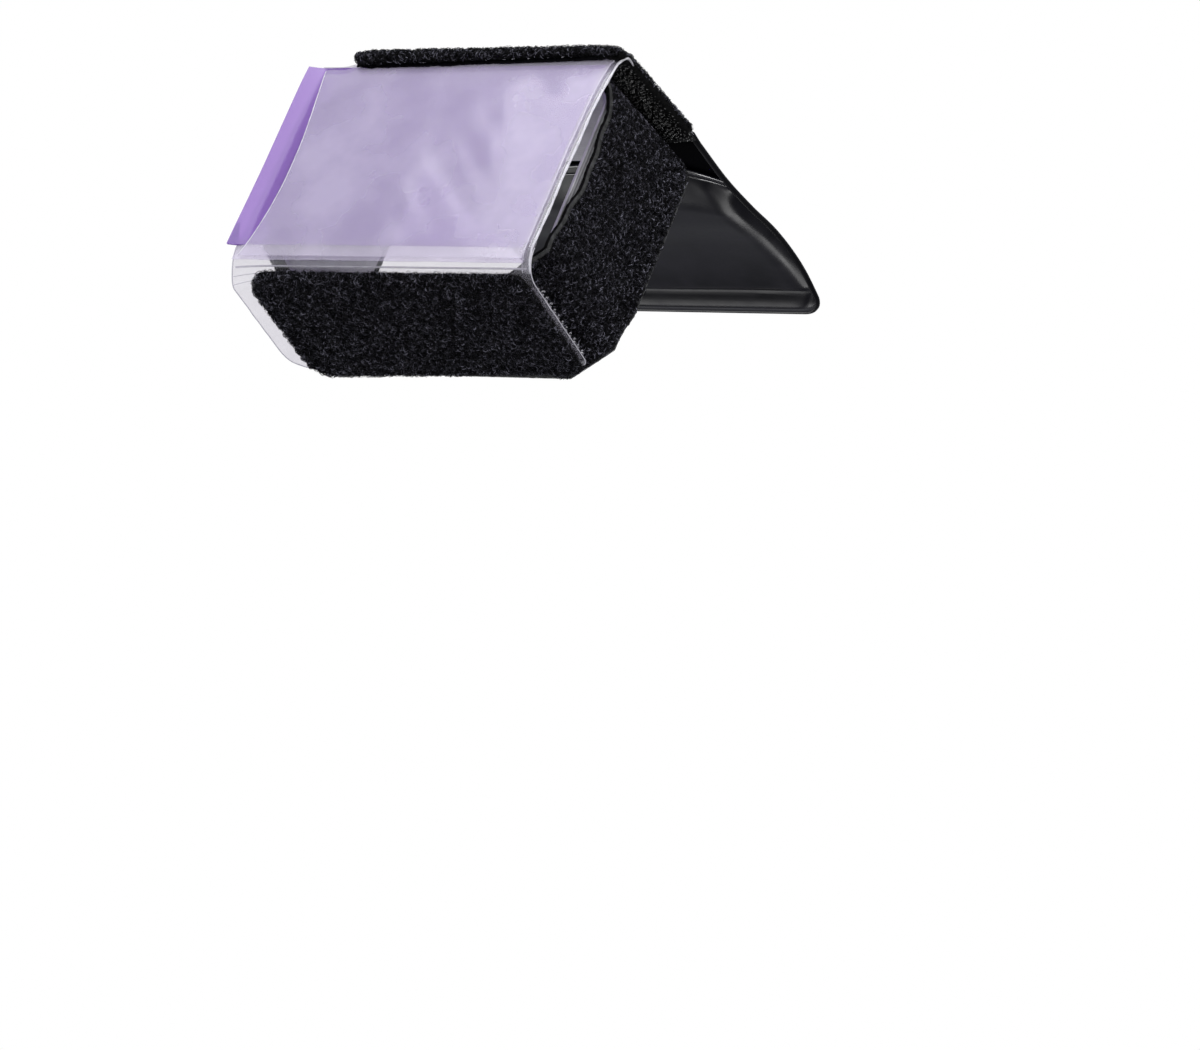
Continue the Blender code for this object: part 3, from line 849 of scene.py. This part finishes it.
def sink(points):
    """Lowers a window sheet's top left corner by left_fall."""
    near = np.clip((points[..., 2] - FILM_HIGH + 14) / 14, 0, 1) ** 2
    points[..., 2] -= left_fall(points[..., 0]) * near
    return points


def pane(left, z_low, z_high, forward, cols, rows):
    """A grid over the window: rows go down, columns go right from left(z)."""
    z = np.linspace(z_high, z_low, rows)
    x = rows_between(left(z), FILM_RIGHT, cols)
    z_grid = z[:, None] + 0 * x
    return np.stack([x, window_y(z_grid) - forward, z_grid], 2)


def make_window():
    def straight(z):
        return WINDOW_LOW[0] + 0 * z

    back = pane(straight, FILM_LOW, FILM_HIGH, 0.0, 80, 64)
    back[..., 1] += 0.15 * ripple(back[..., 0], back[..., 2], 30, 31)
    made = shell("window_back_film", sink(back), BACK_THICK, look["window"])
    fit_piece(made, WINDOW_BEND, "window_back_sheet")

    front = pane(mouth, FILM_LOW + 0.4, FILM_HIGH - 0.3, 1.15, 96, 72)
    x, z = front[..., 0], front[..., 2]
    across = np.sin(PI * (x - WINDOW_LOW[0]) / (FILM_RIGHT - WINDOW_LOW[0]))
    belly = across * np.sin(PI * (z - FILM_LOW) / (FILM_HIGH - FILM_LOW))
    folds = 0.12 * ripple(x, z, 40, 32, 2) + 0.05 * ripple(x + 0.6 * z, z, 14, 33, 2)
    front[..., 1] -= 0.5 * belly + folds * np.clip(belly * 3, 0, 1)
    made = shell("window_front_film", sink(front), FRONT_THICK, look["window"])
    fit_piece(made, WINDOW_BEND, "window_front_sheet")
    mouth_line = front[2:, 0] + np.array([0.05, -0.05, 0])
    lip = tubes("window_mouth_lip", mouth_line[None], 0.17, look["bead"], 6)
    fit_piece(lip, "window")

    make_edge_weld()
    make_foot_weld()


def make_edge_weld():
    """A thin web along the right edge between two ridges, from the fold down the roll."""
    z = np.linspace(FILM_HIGH - CURL_DROP, ROLL_TOP_Z, 60)
    y = window_y(z) - 0.6
    down = ROLL_START + ROLL_LENGTH * np.linspace(0.05, 0.62, 12)
    y_low, z_low = bottom_path(down, EDGE_HIGH[0], 0.1)
    y = np.concatenate([y, y_low])
    z = np.concatenate([z, z_low])
    x = np.linspace(EDGE_LOW[0] - 0.3, EDGE_HIGH[0] - 0.3, 9)
    points = np.stack(np.broadcast_arrays(x[None], y[:, None], z[:, None]), 2)
    web = shell("window_edge_web", points, 0.35, look["film"])
    fit_piece(web, WINDOW_BEND, "window_edge_weld")
    slim = 1 - 0.5 * ease(ROLL_TOP_Z, ROLL_TOP_Z - 4, z)
    parts = []
    for across, radius, forward in EDGE_RIDGES:
        wave = 1 + 0.14 * np.sin(z * 0.9 + across) + 0.08 * np.sin(z * 2.3)
        drift = 0.12 * np.sin(z * 0.31 + across) + 1.2 * ease(FILM_HIGH - 2, FILM_HIGH + 1.2, z)
        line = np.stack([across + drift, y - forward, z], 1)
        parts.append(tube_parts(line[None], (radius * slim * wave)[None], 8))
    made = join_parts("window_edge_ridges", parts, look["bead"])
    fit_piece(made, WINDOW_BEND)


def make_foot_weld():
    """The weld line along the window's foot, and two faint ridges below it at the left."""
    reach = EDGE_LOW[0] - WINDOW_LOW[0]
    parts = []
    for level, radius, left, right in (
        (0.50, 0.24, 0.8, reach + 1.0),
        (0.68, 0.09, 0.2, reach * 0.14),
        (0.86, 0.08, 0.0, reach * 0.12),
    ):
        x = np.linspace(WINDOW_LOW[0] + left, WINDOW_LOW[0] + right, 60)
        y, z = bottom_path(level * ROLL_LENGTH + ROLL_START, x, -0.12)
        parts.append(tube_parts(np.stack([x, y, z], 1)[None], radius, 6))
    made = join_parts("window_foot_weld", parts, look["bead"])
    fit_piece(made, "window", "window_bottom_weld")


# ---------------- the bottom flap


def make_bottom_flap():
    s = np.concatenate([np.linspace(0, 12, 30), np.linspace(12.6, FLAP_TOTAL, 40)])
    left = WINDOW_LOW[0] + round_off(FLAP_CORNERS[0], FLAP_TOTAL - s)
    right = EDGE_HIGH[0] - round_off(FLAP_CORNERS[1], FLAP_TOTAL - s)
    x = rows_between(left, right, 90)
    y, z = bottom_path(s[:, None], x)
    film = np.stack([x, y, z], 2)
    film[..., 2] += 0.12 * ripple(x, y, 14, 41) * ease(6, 14, s)[:, None]
    made = shell("bottom_flap_film", film, FILM_THICK, look["film"])
    fit_piece(made, BOTTOM_BEND, "bottom_flap_sheet")

    rim = np.concatenate([film[4:, -1], film[-1, ::-1], film[::-1, 0][:-4]])
    edge = tubes("bottom_flap_bead", resample(rim, 220)[None], 0.14, look["bead"], 6)
    fit_piece(edge, BOTTOM_BEND)
    make_bottom_pad()
    make_bottom_hooks()


def make_bottom_pad():
    """The flap's loop pad: its front edge follows the roll, its corners are cut round."""
    s0, s1 = ROLL_START + ROLL_LENGTH * 0.60, FLAP_TOTAL - 0.8
    s = np.linspace(s0, s1, 84)
    front = round_off(PAD_FRONT_CORNER, s - s0)
    left = BOTTOM_PAD_LOW[0] + 0.2 + front + round_off(PAD_CORNERS[0], s1 - s)
    right = BOTTOM_PAD_HIGH[0] + 1.1 - front * 1.1 - round_off(PAD_CORNERS[1], s1 - s)
    left = left + 0.25 * np.sin(s * 1.9) + 0.18 * np.sin(s * 4.3)
    x = rows_between(left, right, 150)
    y, z = bottom_path(s[:, None], x, out=1.75)
    points = np.stack([x, y, z], 2)
    border = np.minimum(
        np.minimum(x - left[:, None], right[:, None] - x),
        np.minimum(s - s0, s1 - s)[:, None],
    )
    thick = 0.35 + 2.0 * dome(border / 1.3)
    lumps = 0.16 * ripple(x, y, 2.4, 42) * np.clip(border, 0, 1)
    points = points - grid_normals(points) * lumps[..., None] * pad_side(points)
    made = shell("bottom_pad_ground", points, thick, look["ground"], 80)
    fit_piece(made, "bottom_flap", "bottom_loop_pad")
    side = pad_side(points)
    face = outer_face(points, grid_normals(points), side, thick[..., None])
    pad_nap("bottom_pad_nap", face, 43, (44, 49), "bottom_flap")
    pad_strays(points)


def pad_side(points):
    """+1 if the grid's normal points away from the head below it, else -1."""
    middle = grid_normals(points)[points.shape[0] // 2, points.shape[1] // 2]
    return 1.0 if middle[2] < 0 else -1.0


def pad_nap(name, face, seed, layer_seeds, where):
    """Two layers of yarn on a pad's face."""
    rng = np.random.default_rng(seed)
    for ending, layer_seed in zip(("", "_fill"), layer_seeds):
        spots, out = sample(face, YARNS, rng)
        made = nap(name + ending, spots, out, look["fibre"], layer_seed)
        fit_piece(made, where)


def pad_strays(points):
    """Loose yarns that stand out past the bottom pad's left and front edges."""
    long, short = (1.6, 1.1, 0.09, 7), (0.9, 1.3, 0.085, 6)
    rng = np.random.default_rng(45)
    count = 130
    left = points[rng.integers(4, points.shape[0] - 4, count), 2]
    out = unit(rng.normal(size=(count, 3)) * [0.5, 1, 0.5] + [-1.3, 0, -0.2])
    first = nap("bottom_pad_strays", left, out, look["fibre"], 46, *long)
    fit_piece(first, "bottom_flap")
    count = 260
    front = points[1, rng.integers(4, points.shape[1] - 4, count)]
    up = unit(rng.normal(size=(count, 3)) * [0.8, 0.2, 0.4] + [0, -0.5, 1.2])
    second = nap("bottom_pad_fringe", front, up, look["fibre"], 47, *short)
    fit_piece(second, "bottom_flap")


def make_bottom_hooks():
    """Clear moulded hooks on a thin clear base, gripping the strap from below."""
    low, high = BOTTOM_HOOK_LOW, BOTTOM_HOOK_HIGH
    y, x = plane(np.linspace(low[1], high[1], 30), np.linspace(low[0], high[0], 60))
    y = y - FLAP_SKEW * (y - low[1]) / (high[1] - low[1]) * (x - low[0]) / (high[0] - low[0])
    base = np.stack([x, y, np.full_like(x, low[2] + 0.2)], 2)
    made = shell("bottom_hook_tape", base, 0.3, look["film"])
    fit_piece(made, "bottom_flap", "bottom_hook_strip")
    a, b = hook_places(low[:2], (high[0] + 1.5, high[1]), 1.5, 1.15)
    kept = b < high[1] - FLAP_SKEW * (a - low[0]) / (high[0] - low[0]) - 1
    a, b = a[kept], b[kept]
    places = np.stack([a, b, np.full(a.size, low[2] + 0.3)], 1)
    made = hooks("bottom_hooks", places, (0, 0, 1.0), (0, 1.0, 0), look["bead"], CLEAR_HOOK, 48)
    fit_piece(made, "bottom_flap")


# ---------------- the gel


def make_gel():
    """The purple gel, curling forward where it sticks out of the pocket's mouth."""
    left, right = GEL_LOW[0], GEL_HIGH[0]
    bottom, top = GEL_LOW[2], GEL_HIGH[2]
    z = np.linspace(top, bottom, 60)[:, None]
    v = (top - z) / (top - bottom)
    x_left = left + 0.2 + 1.9 * (1 - (1 - v) ** 3.5)
    x = x_left + (right - x_left) * np.linspace(0, 1, 110)
    z = z + 0 * x
    out = np.clip((WINDOW_LOW[0] + 3.5 - x) / 8, 0, 1)
    curl = 2.0 * out**2 * (0.6 + 0.5 * v)
    droop = 0.6 * np.clip((-36 - x) / 11, 0, 1) ** 2 * v + 0.3 * out
    droop = droop - 0.8 * (1 - v) ** 3
    y = window_y(z) - 0.6 - curl + 0.06 * ripple(x, z, 24, 51)
    points = np.stack([x, y, z - droop], 2)

    # A sliver at the foot of the free end, folded over behind the sheet
    sliver = points[-8:, :6].copy()
    share = np.linspace(1, 0, 8)[:, None]
    sliver[..., 0] = sliver[:, :1, 0] + (sliver[..., 0] - sliver[:, :1, 0]) * (1 - share**0.7) * 0.9
    sliver[..., 1] += 0.35
    parts = [shell_parts(sheet, GEL_THICK) for sheet in (points, sliver)]
    made = join_parts("gel_filter", parts, look["gel"])
    made.data.set_sharp_from_angle(angle=math.radians(50))
    fit_piece(made, "gel", "gel_sheet")


# ---------------- the top flap

# The bends at the fold, of the film and of the thicker pad over it
TOP_BEND = ("top_flap", "strap"), (0, TOP_LOW[1] + 2.5, 0), (0, TOP_LOW[1] - 0.3, 0)
PAD_BEND = ("top_flap", "strap"), (0, TOP_LOW[1] + 3.0, 0), (0, TOP_LOW[1] - 0.6, 0)
HOOK_OVERLAP = 2.5  # how far the hook tape runs forward past its solid, over the fold


def top_level(y, out):
    return HEAD_FRONT_TOP + TOP_SLOPE * (y - STRAP_LOW[1]) + out


def right_lift(x):
    """The flap's right end stands a little off the strap."""
    return np.clip((x - 30) / 12, 0, 1) ** 2


def make_top_flap():
    y = np.concatenate([np.linspace(TOP_LOW[1] - 0.3, -18, 12), np.linspace(-17, TOP_HIGH[1], 34)])
    y, x = plane(y, np.linspace(TOP_LOW[0], TOP_HIGH[0], 90))
    drop = np.clip((-18.5 - y) / 6.5, 0, 1) ** 2
    lift = 0.8 * right_lift(x) + 0.15 * ripple(x, y, 16, 61)
    film = np.stack([x, y, top_level(y, FILM_OUT) - drop + lift - left_fall(x)], 2)
    made = shell("top_flap_film", film, FILM_THICK, look["film"])
    fit_piece(made, TOP_BEND, "top_flap_sheet")
    rim = resample(film[:, -1], 80)
    slim = 0.2 - 0.12 * ease(TOP_LOW[1] + 2, TOP_LOW[1] + 9, rim[:, 1])
    edge = tubes("top_flap_bead", rim[None], slim[None], look["bead"], 6)
    fit_piece(edge, TOP_BEND)
    make_edge_curl()
    make_top_hooks()
    make_top_pad()


def make_edge_curl():
    """The edge weld's top end, curled back over the fold and in under the pad's corner."""
    bend = 2.2
    first = float(window_y(FILM_HIGH - CURL_DROP)) - 0.6
    over = arc(first + bend, FILM_HIGH - CURL_DROP, bend, 180, 85, 12)
    end_y, end_z = over[-1]
    over = np.array(over + [(end_y + step, end_z + 0.16 * step) for step in (1, 2, 3.5)])
    y, z = over[:, 0], over[:, 1]
    drift = 1.2 * ease(FILM_HIGH - 2, FILM_HIGH + 1.2, z) - 0.5 * ease(first + 2.5, first + 5.5, y)
    thin = 1 - 0.6 * ease(first + 1.5, first + 5.5, y)
    parts = []
    for across, radius, forward in EDGE_RIDGES:
        line = np.stack([across + drift, y - forward * thin, z], 1)
        parts.append(tube_parts(line[None], (radius * thin)[None], 8))
    made = join_parts("top_edge_curl", parts, look["bead"])
    fit_piece(made, TOP_BEND)


def make_top_hooks():
    """Black hook tape under the film, its hooks down into the strap's loops."""
    low, high = TOP_HOOK_LOW, TOP_HOOK_HIGH
    start = low[1] - HOOK_OVERLAP
    y, x = plane(np.linspace(start, high[1], 44), np.linspace(low[0], high[0], 90))
    z = top_level(y, HOOK_IN + 0.95) + 0.7 * right_lift(x) + 0.05 * np.cos(x * 7) * np.cos(y * 6)
    made = shell("top_hook_tape", np.stack([x, y, z], 2), 0.45, look["hook_ground"])
    fit_piece(made, "top_flap", "top_hook_strip")
    a, b = hook_places((low[0], start), (high[0] + 0.6, high[1] + 0.6), 1.0, 0.9)
    rng = np.random.default_rng(66)
    jitter = rng.normal(scale=0.16, size=(2, a.size))
    a, b = a + jitter[0], b + jitter[1]
    places = np.stack([a, b, top_level(b, HOOK_IN + 0.8) + 0.7 * right_lift(a)], 1)
    along = np.array([0.8, 0.6, 0]) * rng.choice([-1.0, 1.0], (a.size, 1))
    made = hooks("top_hooks", places, (0, 0, -1.0), along, look["hook"], TOP_HOOK, 62)
    fit_piece(made, "top_flap")


def make_top_pad():
    """The top loop pad: its front lip rolls down over the fold of the window."""
    nose_y, nose_z = WINDOW_TOP_Y + 1.2, top_level(WINDOW_TOP_Y, PAD_OUT) - 0.7
    lip = [(nose_y - 1.9, nose_z - 3.1), (nose_y - 1.8, nose_z - 2.0)]
    turn = arc(nose_y + 0.3, nose_z - 2.0, 2.1, 180, 95, 8)
    run = [(y, top_level(y, PAD_OUT)) for y in np.linspace(nose_y + 2.5, TOP_PAD_HIGH[1], 20)]
    path = resample(lip + turn[1:] + run, 96)
    left, right = TOP_PAD_LOW[0] + 1.0, TOP_PAD_HIGH[0] + 0.4
    middle, half = (left + right) / 2, (right - left) / 2
    x = np.linspace(left, right, 160)
    y = path[:, :1] + 0 * x
    z = path[:, 1:] + 0 * x
    length, corner = run_along(path)[:, None], 4.0
    tuck = round_off(corner, length) + round_off(corner, length[-1] - length)
    uneven = 0.2 * np.sin(length * 2.1) * np.sign(x - middle) * (np.abs(x - middle) > 30)
    x = middle + (x[None] - middle) * (1 - tuck / half) + uneven
    fall = 1.6 * np.clip((x - 34) / 9, 0, 1) ** 2 + 1.2 * np.clip((-27 - x) / 9, 0, 1) ** 2
    z = z - fall * 0.6 + lip_rise(x) * np.clip(1 - length / 3.6, 0, 1)
    points = np.stack([x, y, z], 2)
    border = np.minimum(
        half - np.abs(x - middle) - tuck + 0.01,
        np.minimum(length, length[-1] - length),
    )
    thick = 0.4 + 2.0 * dome(border / 1.4)
    lumps = 0.22 * ripple(x, y + z, 2.5, 63) * np.clip(border, 0, 1)
    normals = grid_normals(points)
    side = -pad_side(points)
    points = points + normals * (side * lumps)[..., None]
    made = shell("top_pad_ground", points, thick, look["ground"], 80)
    fit_piece(made, PAD_BEND, "top_loop_pad")
    face = outer_face(points, normals, side, thick[..., None])
    pad_nap("top_pad_nap", face, 64, (65, 70), PAD_BEND)
    make_lip_tape(nose_y - 1.5, nose_z - 2.9)


def lip_rise(x):
    """How much higher the lip's lower edge runs towards its right."""
    return 2.7 * np.clip((x + 36) / 78, 0, 1) - 0.5


def make_lip_tape(lip_y, lip_z):
    """The glossy black underside of the pad's lip, with a ragged edge on the film and a few pale
    bits on it as painted glints.
    """
    x = np.linspace(TOP_PAD_LOW[0] + 2.2, TOP_PAD_HIGH[0] - 1.2, 260)
    ragged = 0.22 * ripple(x, 0 * x, 7, 67) + 0.1 * ripple(x, 0 * x, 1.6, 68)
    lip_z = lip_z + lip_rise(x)
    reach = 1.1 * ease(x[0], x[0] + 5, x) * ease(x[-1], x[-1] - 5, x)
    foot_z = lip_z - reach + ragged
    foot_y = window_y(foot_z) - 1.45
    share = np.linspace(0, 1, 7)[:, None]
    y = lip_y + (foot_y[None] - lip_y) * share
    z = lip_z + 0.8 * (1 - share) + (foot_z - lip_z)[None] * share
    z = z - 0.3 * left_fall(x)[None]
    points = np.stack([x[None] + 0 * y, y, z], 2)
    made = shell("top_lip_tape", points, 0.3, look["vinyl"])
    fit_piece(made, PAD_BEND)
    # Seven small pale bits on the lip, in the clear bead's finish: painted glints where the film's
    # fold shines through the yarn.
    rng = np.random.default_rng(69)
    places = points[3, rng.integers(60, 230, 7)] + [0, -0.25, 0]
    ways = unit(rng.normal(size=(7, 3)) * [1, 0.1, 0.3]) * 0.45
    glint_paths = np.stack([places - ways, places, places + ways], 1)
    bits = tubes("top_lip_glints", glint_paths, 0.13, look["bead"])
    fit_piece(bits, PAD_BEND)


# ---------------- the pouch

POUCH_REACH = 3.6  # how much further back the soft pouch hangs than its solid
POUCH_FRONT, POUCH_REAR = SKIN_LOW[1] - 3.8, SKIN_HIGH[1] + POUCH_REACH
POUCH_HALF, POUCH_CORNER = SKIN_HIGH[0] + 0.2, 5.0
POUCH_BEND = ("pouch", "top_flap"), (0, POUCH_FRONT + 9, 0), (0, POUCH_FRONT + 3, 0)
HEM_Y = 24.0  # the middle of the lining's mouth

# The skin's height (y, z) at a few places along its length, as in the frame's own pouch
POUCH_LINE = (
    (14.5, 69.3),
    (18.2, 69.6),
    (31, 70.8),
    (45, 73.4),
    (60, 76.8),
    (76, 78.1),
    (92.4, 76.5),
)


def pouch_level(y):
    """Height of the skin at y, on a smooth curve through POUCH_LINE."""
    knots = np.array(POUCH_LINE) + [POUCH_REACH, 0]
    slope = np.gradient(knots[:, 1], knots[:, 0])
    y = np.asarray(y, float)
    i = np.clip(np.searchsorted(knots[:, 0], y) - 1, 0, len(knots) - 2)
    wide = knots[i + 1, 0] - knots[i, 0]
    t = np.clip((y - knots[i, 0]) / wide, 0, 1.1)
    a, b = knots[i, 1], knots[i + 1, 1]
    m, n = slope[i] * wide, slope[i + 1] * wide
    start = (2 * t**3 - 3 * t**2 + 1) * a + (t**3 - 2 * t**2 + t) * m
    return start + (-2 * t**3 + 3 * t**2) * b + (t**3 - t**2) * n


def pouch_half(y):
    """Half the pouch's width at y, less at its rounded rear corners."""
    return POUCH_HALF - round_off(POUCH_CORNER, POUCH_REAR - y)


def make_pouch():
    s = np.linspace(0, 1, 90)
    y = POUCH_FRONT + (POUCH_REAR - POUCH_FRONT) * (1 - (1 - s) ** 1.4)
    across = np.linspace(-1, 1, 81)
    x = pouch_half(y)[:, None] * across
    y = y[:, None] + 0 * x
    z = pouch_level(y) + 0.28 * ripple(x, y, 22, 71) * (1 - across**4)
    z = z + 0.7 * np.sin(PI * across / 2 + PI / 2) * ease(POUCH_FRONT, POUCH_FRONT + 25, y)
    made = shell("pouch_skin", np.stack([x, y, z], 2), 0.55, look["vinyl"])
    matt_underside(made)
    fit_piece(made, POUCH_BEND, "pouch_outer_skin")
    make_pouch_lining()
    make_pouch_rim()


def matt_underside(piece):
    """Gives the vinyl's back, which has no gloss coat, to the faces that point down."""
    piece.data.materials.append(look["vinyl_back"])
    ways = np.empty((len(piece.data.polygons), 3))
    piece.data.polygons.foreach_get("normal", ways.ravel())
    piece.data.polygons.foreach_set("material_index", (ways[:, 2] < 0).astype(np.int32))


def make_pouch_lining():
    """The inner skin, puffed down from the outer one, with a loose mouth and a cross roll."""
    across = np.linspace(-1, 1, 97)
    mouth_y = HEM_Y + 10.5 * np.abs(across) ** 3
    s = np.linspace(0, 1, 100)[:, None]
    y = mouth_y + (POUCH_REAR - 0.2 - mouth_y) * s
    x = (pouch_half(y) + 0.1) * across
    swell = dome((POUCH_HALF - np.abs(POUCH_HALF * across)) / 5.2)
    gape = 3.2 * hump(x, 0, 17) * (1 - s) ** 1.5
    puff = gape + 4.6 * swell * ease(-0.02, 0.22, s) * np.cos(PI / 2 * s) ** 0.9
    roll = 1.25 * hump(y, POUCH_REAR - 4.2, 2.2) - 0.7 * hump(y, POUCH_REAR - 8.2, 1.4)
    puff = puff + 1.4 * swell * roll
    lip = 0.7 * hump(y, mouth_y, 2.2) * swell
    crease = 0.14 * ripple(x, y, 30, 72, 2) * swell * (1 - s)
    pucker = hump(np.abs(x), 38, 3) * hump(s, 0.06, 0.07)
    crease = crease + 0.5 * pucker * ripple(x, y, 9, 73, 1)
    z = np.minimum(pouch_level(y) - 0.75 - puff + lip - crease, pouch_level(y) - 0.85)
    points = np.stack([x, y, z], 2)
    made = shell("pouch_lining", points, 0.5, look["vinyl_inner"])
    fit_piece(made, "pouch", "pouch_inner_lining")
    fold = points[3] - np.array([0, 0, 0.25])
    parts = [tube_parts(points[:1], 0.55, 10), tube_parts(fold[None], 0.3, 8)]
    hem = join_parts("pouch_mouth_hem", parts, look["vinyl_hem"])
    fit_piece(hem, "pouch")


def make_pouch_rim():
    """The welded rim: a rounded bead along three sides."""
    proud = 0.35
    side, back, turn = POUCH_HALF + proud, POUCH_REAR + proud, POUCH_CORNER + proud
    right = [(side, y) for y in np.linspace(POUCH_FRONT, back - turn, 60)]
    right += arc(side - turn, back - turn, turn, 0, 90, 10)[1:]
    path = resample(right + [(-x, y) for x, y in reversed(right)], 300)
    z = pouch_level(np.minimum(path[:, 1], POUCH_REAR)) - 0.35
    line = np.stack([path[:, 0], path[:, 1], z], 1)
    rim = tubes("pouch_rim", line[None], 0.8, look["vinyl_bead"], 10)
    fit_piece(rim, POUCH_BEND, "pouch_rim_weld")


# ---------------- stage

# The camera looks up at the head from below its front right, a little rolled
CAMERA_PLACE = Vector((0.6629, -0.8215, -0.6112))
CAMERA_VIEW = Vector((-0.5139, 0.7118, 0.4788))
CAMERA_UP = Vector((-0.0378, -0.5764, 0.8163))
FOCUS = Vector((0, 0.02, 0.035))
FLOOR_Z, FLOOR_REACH = -800, 24000


def aim(obj, place, target, up):
    """Puts an object at place, looking along its -Z at target, with up turned to +Y."""
    forward = (Vector(target) - Vector(place)).normalized()
    right = forward.cross(Vector(up)).normalized()
    turn = Matrix((right, right.cross(forward), -forward)).transposed()
    obj.rotation_mode = "QUATERNION"
    obj.rotation_quaternion = turn.to_quaternion()
    obj.location = place


def make_camera():
    data = bpy.data.cameras.new("camera")
    data.sensor_width = 36
    data.lens = 150
    data.clip_start, data.clip_end = 0.05, 60
    camera = bpy.data.objects.new("camera", data)
    bpy.context.scene.collection.objects.link(camera)
    aim(camera, CAMERA_PLACE, CAMERA_PLACE + CAMERA_VIEW, CAMERA_UP)
    bpy.context.scene.camera = camera


def softbox(name, way, distance, size, strength, up=(0, 0, 1), only=(), through=False):
    """An area light that way from the object; strength is its brightness. only names the
    pieces it lights, if not all of them; with through, nothing else shades them from it."""
    data = bpy.data.lights.new(name, "AREA")
    data.shape = "RECTANGLE"
    data.size, data.size_y = size
    data.energy = strength * PI * size[0] * size[1]
    light = bpy.data.objects.new(name, data)
    bpy.context.scene.collection.objects.link(light)
    aim(light, FOCUS + Vector(way).normalized() * distance, FOCUS, up)
    light.visible_camera = False
    if only:
        chosen = bpy.data.collections.new(name + "_pieces")
        for piece in only:
            chosen.objects.link(bpy.data.objects[piece])
        light.light_linking.receiver_collection = chosen
        if through:
            light.light_linking.blocker_collection = chosen


def make_lights():
    """Three soft lights for the whole object, and four small ones for its glints."""
    softbox("key", (-0.15, -0.66, 0.73), 1.05, (0.8, 0.8), 3.2)
    softbox("side", (0.9, 0.08, 0.43), 0.9, (0.28, 1.0), 4.8)
    softbox("front", (0.3, -0.92, 0.08), 1.0, (0.6, 0.6), 3.4)
    lining, hem, rim, back = "pouch_lining", "pouch_mouth_hem", "pouch_rim", (0, 1, 0)
    softbox("pouch_strip", (0.36, 0.71, -0.61), 0.7, (0.3, 0.6), 30.0, back, [lining])
    softbox("pouch_low", (-0.51, 0.14, -0.85), 0.7, (0.3, 0.6), 25.0, back, [lining, hem, rim])
    softbox("hem_strip", (0.31, -0.63, -0.70), 0.7, (0.4, 0.3), 60.0, back, [hem], True)
    softbox("hook_strip", (0.5, -0.2, -0.6), 0.6, (0.12, 0.5), 26.0, back, ["top_hooks"])


def make_stage():
    low, high = -FLOOR_REACH, FLOOR_REACH
    corners = [(low, low), (high, low), (high, high), (low, high)]
    points = [(x, y, FLOOR_Z) for x, y in corners]
    add_mesh("floor", points, [[0, 1, 2, 3]], floor_look())
    make_lights()
    make_world()
    bpy.context.scene.view_settings.view_transform = "Standard"


def make_world():
    """White to the camera, and a softer, slightly cool light to everything else."""
    world = bpy.data.worlds.new("studio")
    bpy.context.scene.world = world
    world.use_nodes = True
    tree = world.node_tree
    tree.nodes.clear()
    mix = tree.nodes.new("ShaderNodeMixShader")
    path = tree.nodes.new("ShaderNodeLightPath")
    tree.links.new(path.outputs["Is Camera Ray"], mix.inputs["Fac"])
    for place, color, strength in ((1, (0.93, 0.95, 1, 1), 0.6), (2, (1, 1, 1, 1), 1.0)):
        sky = tree.nodes.new("ShaderNodeBackground")
        sky.inputs["Color"].default_value = color
        sky.inputs["Strength"].default_value = strength
        tree.links.new(sky.outputs[0], mix.inputs[place])
    out = tree.nodes.new("ShaderNodeOutputWorld")
    tree.links.new(mix.outputs[0], out.inputs["Surface"])


make_camera()
make_strap()
make_lining()
make_tail()
make_window()
make_bottom_flap()
make_gel()
make_top_flap()
make_pouch()
make_stage()
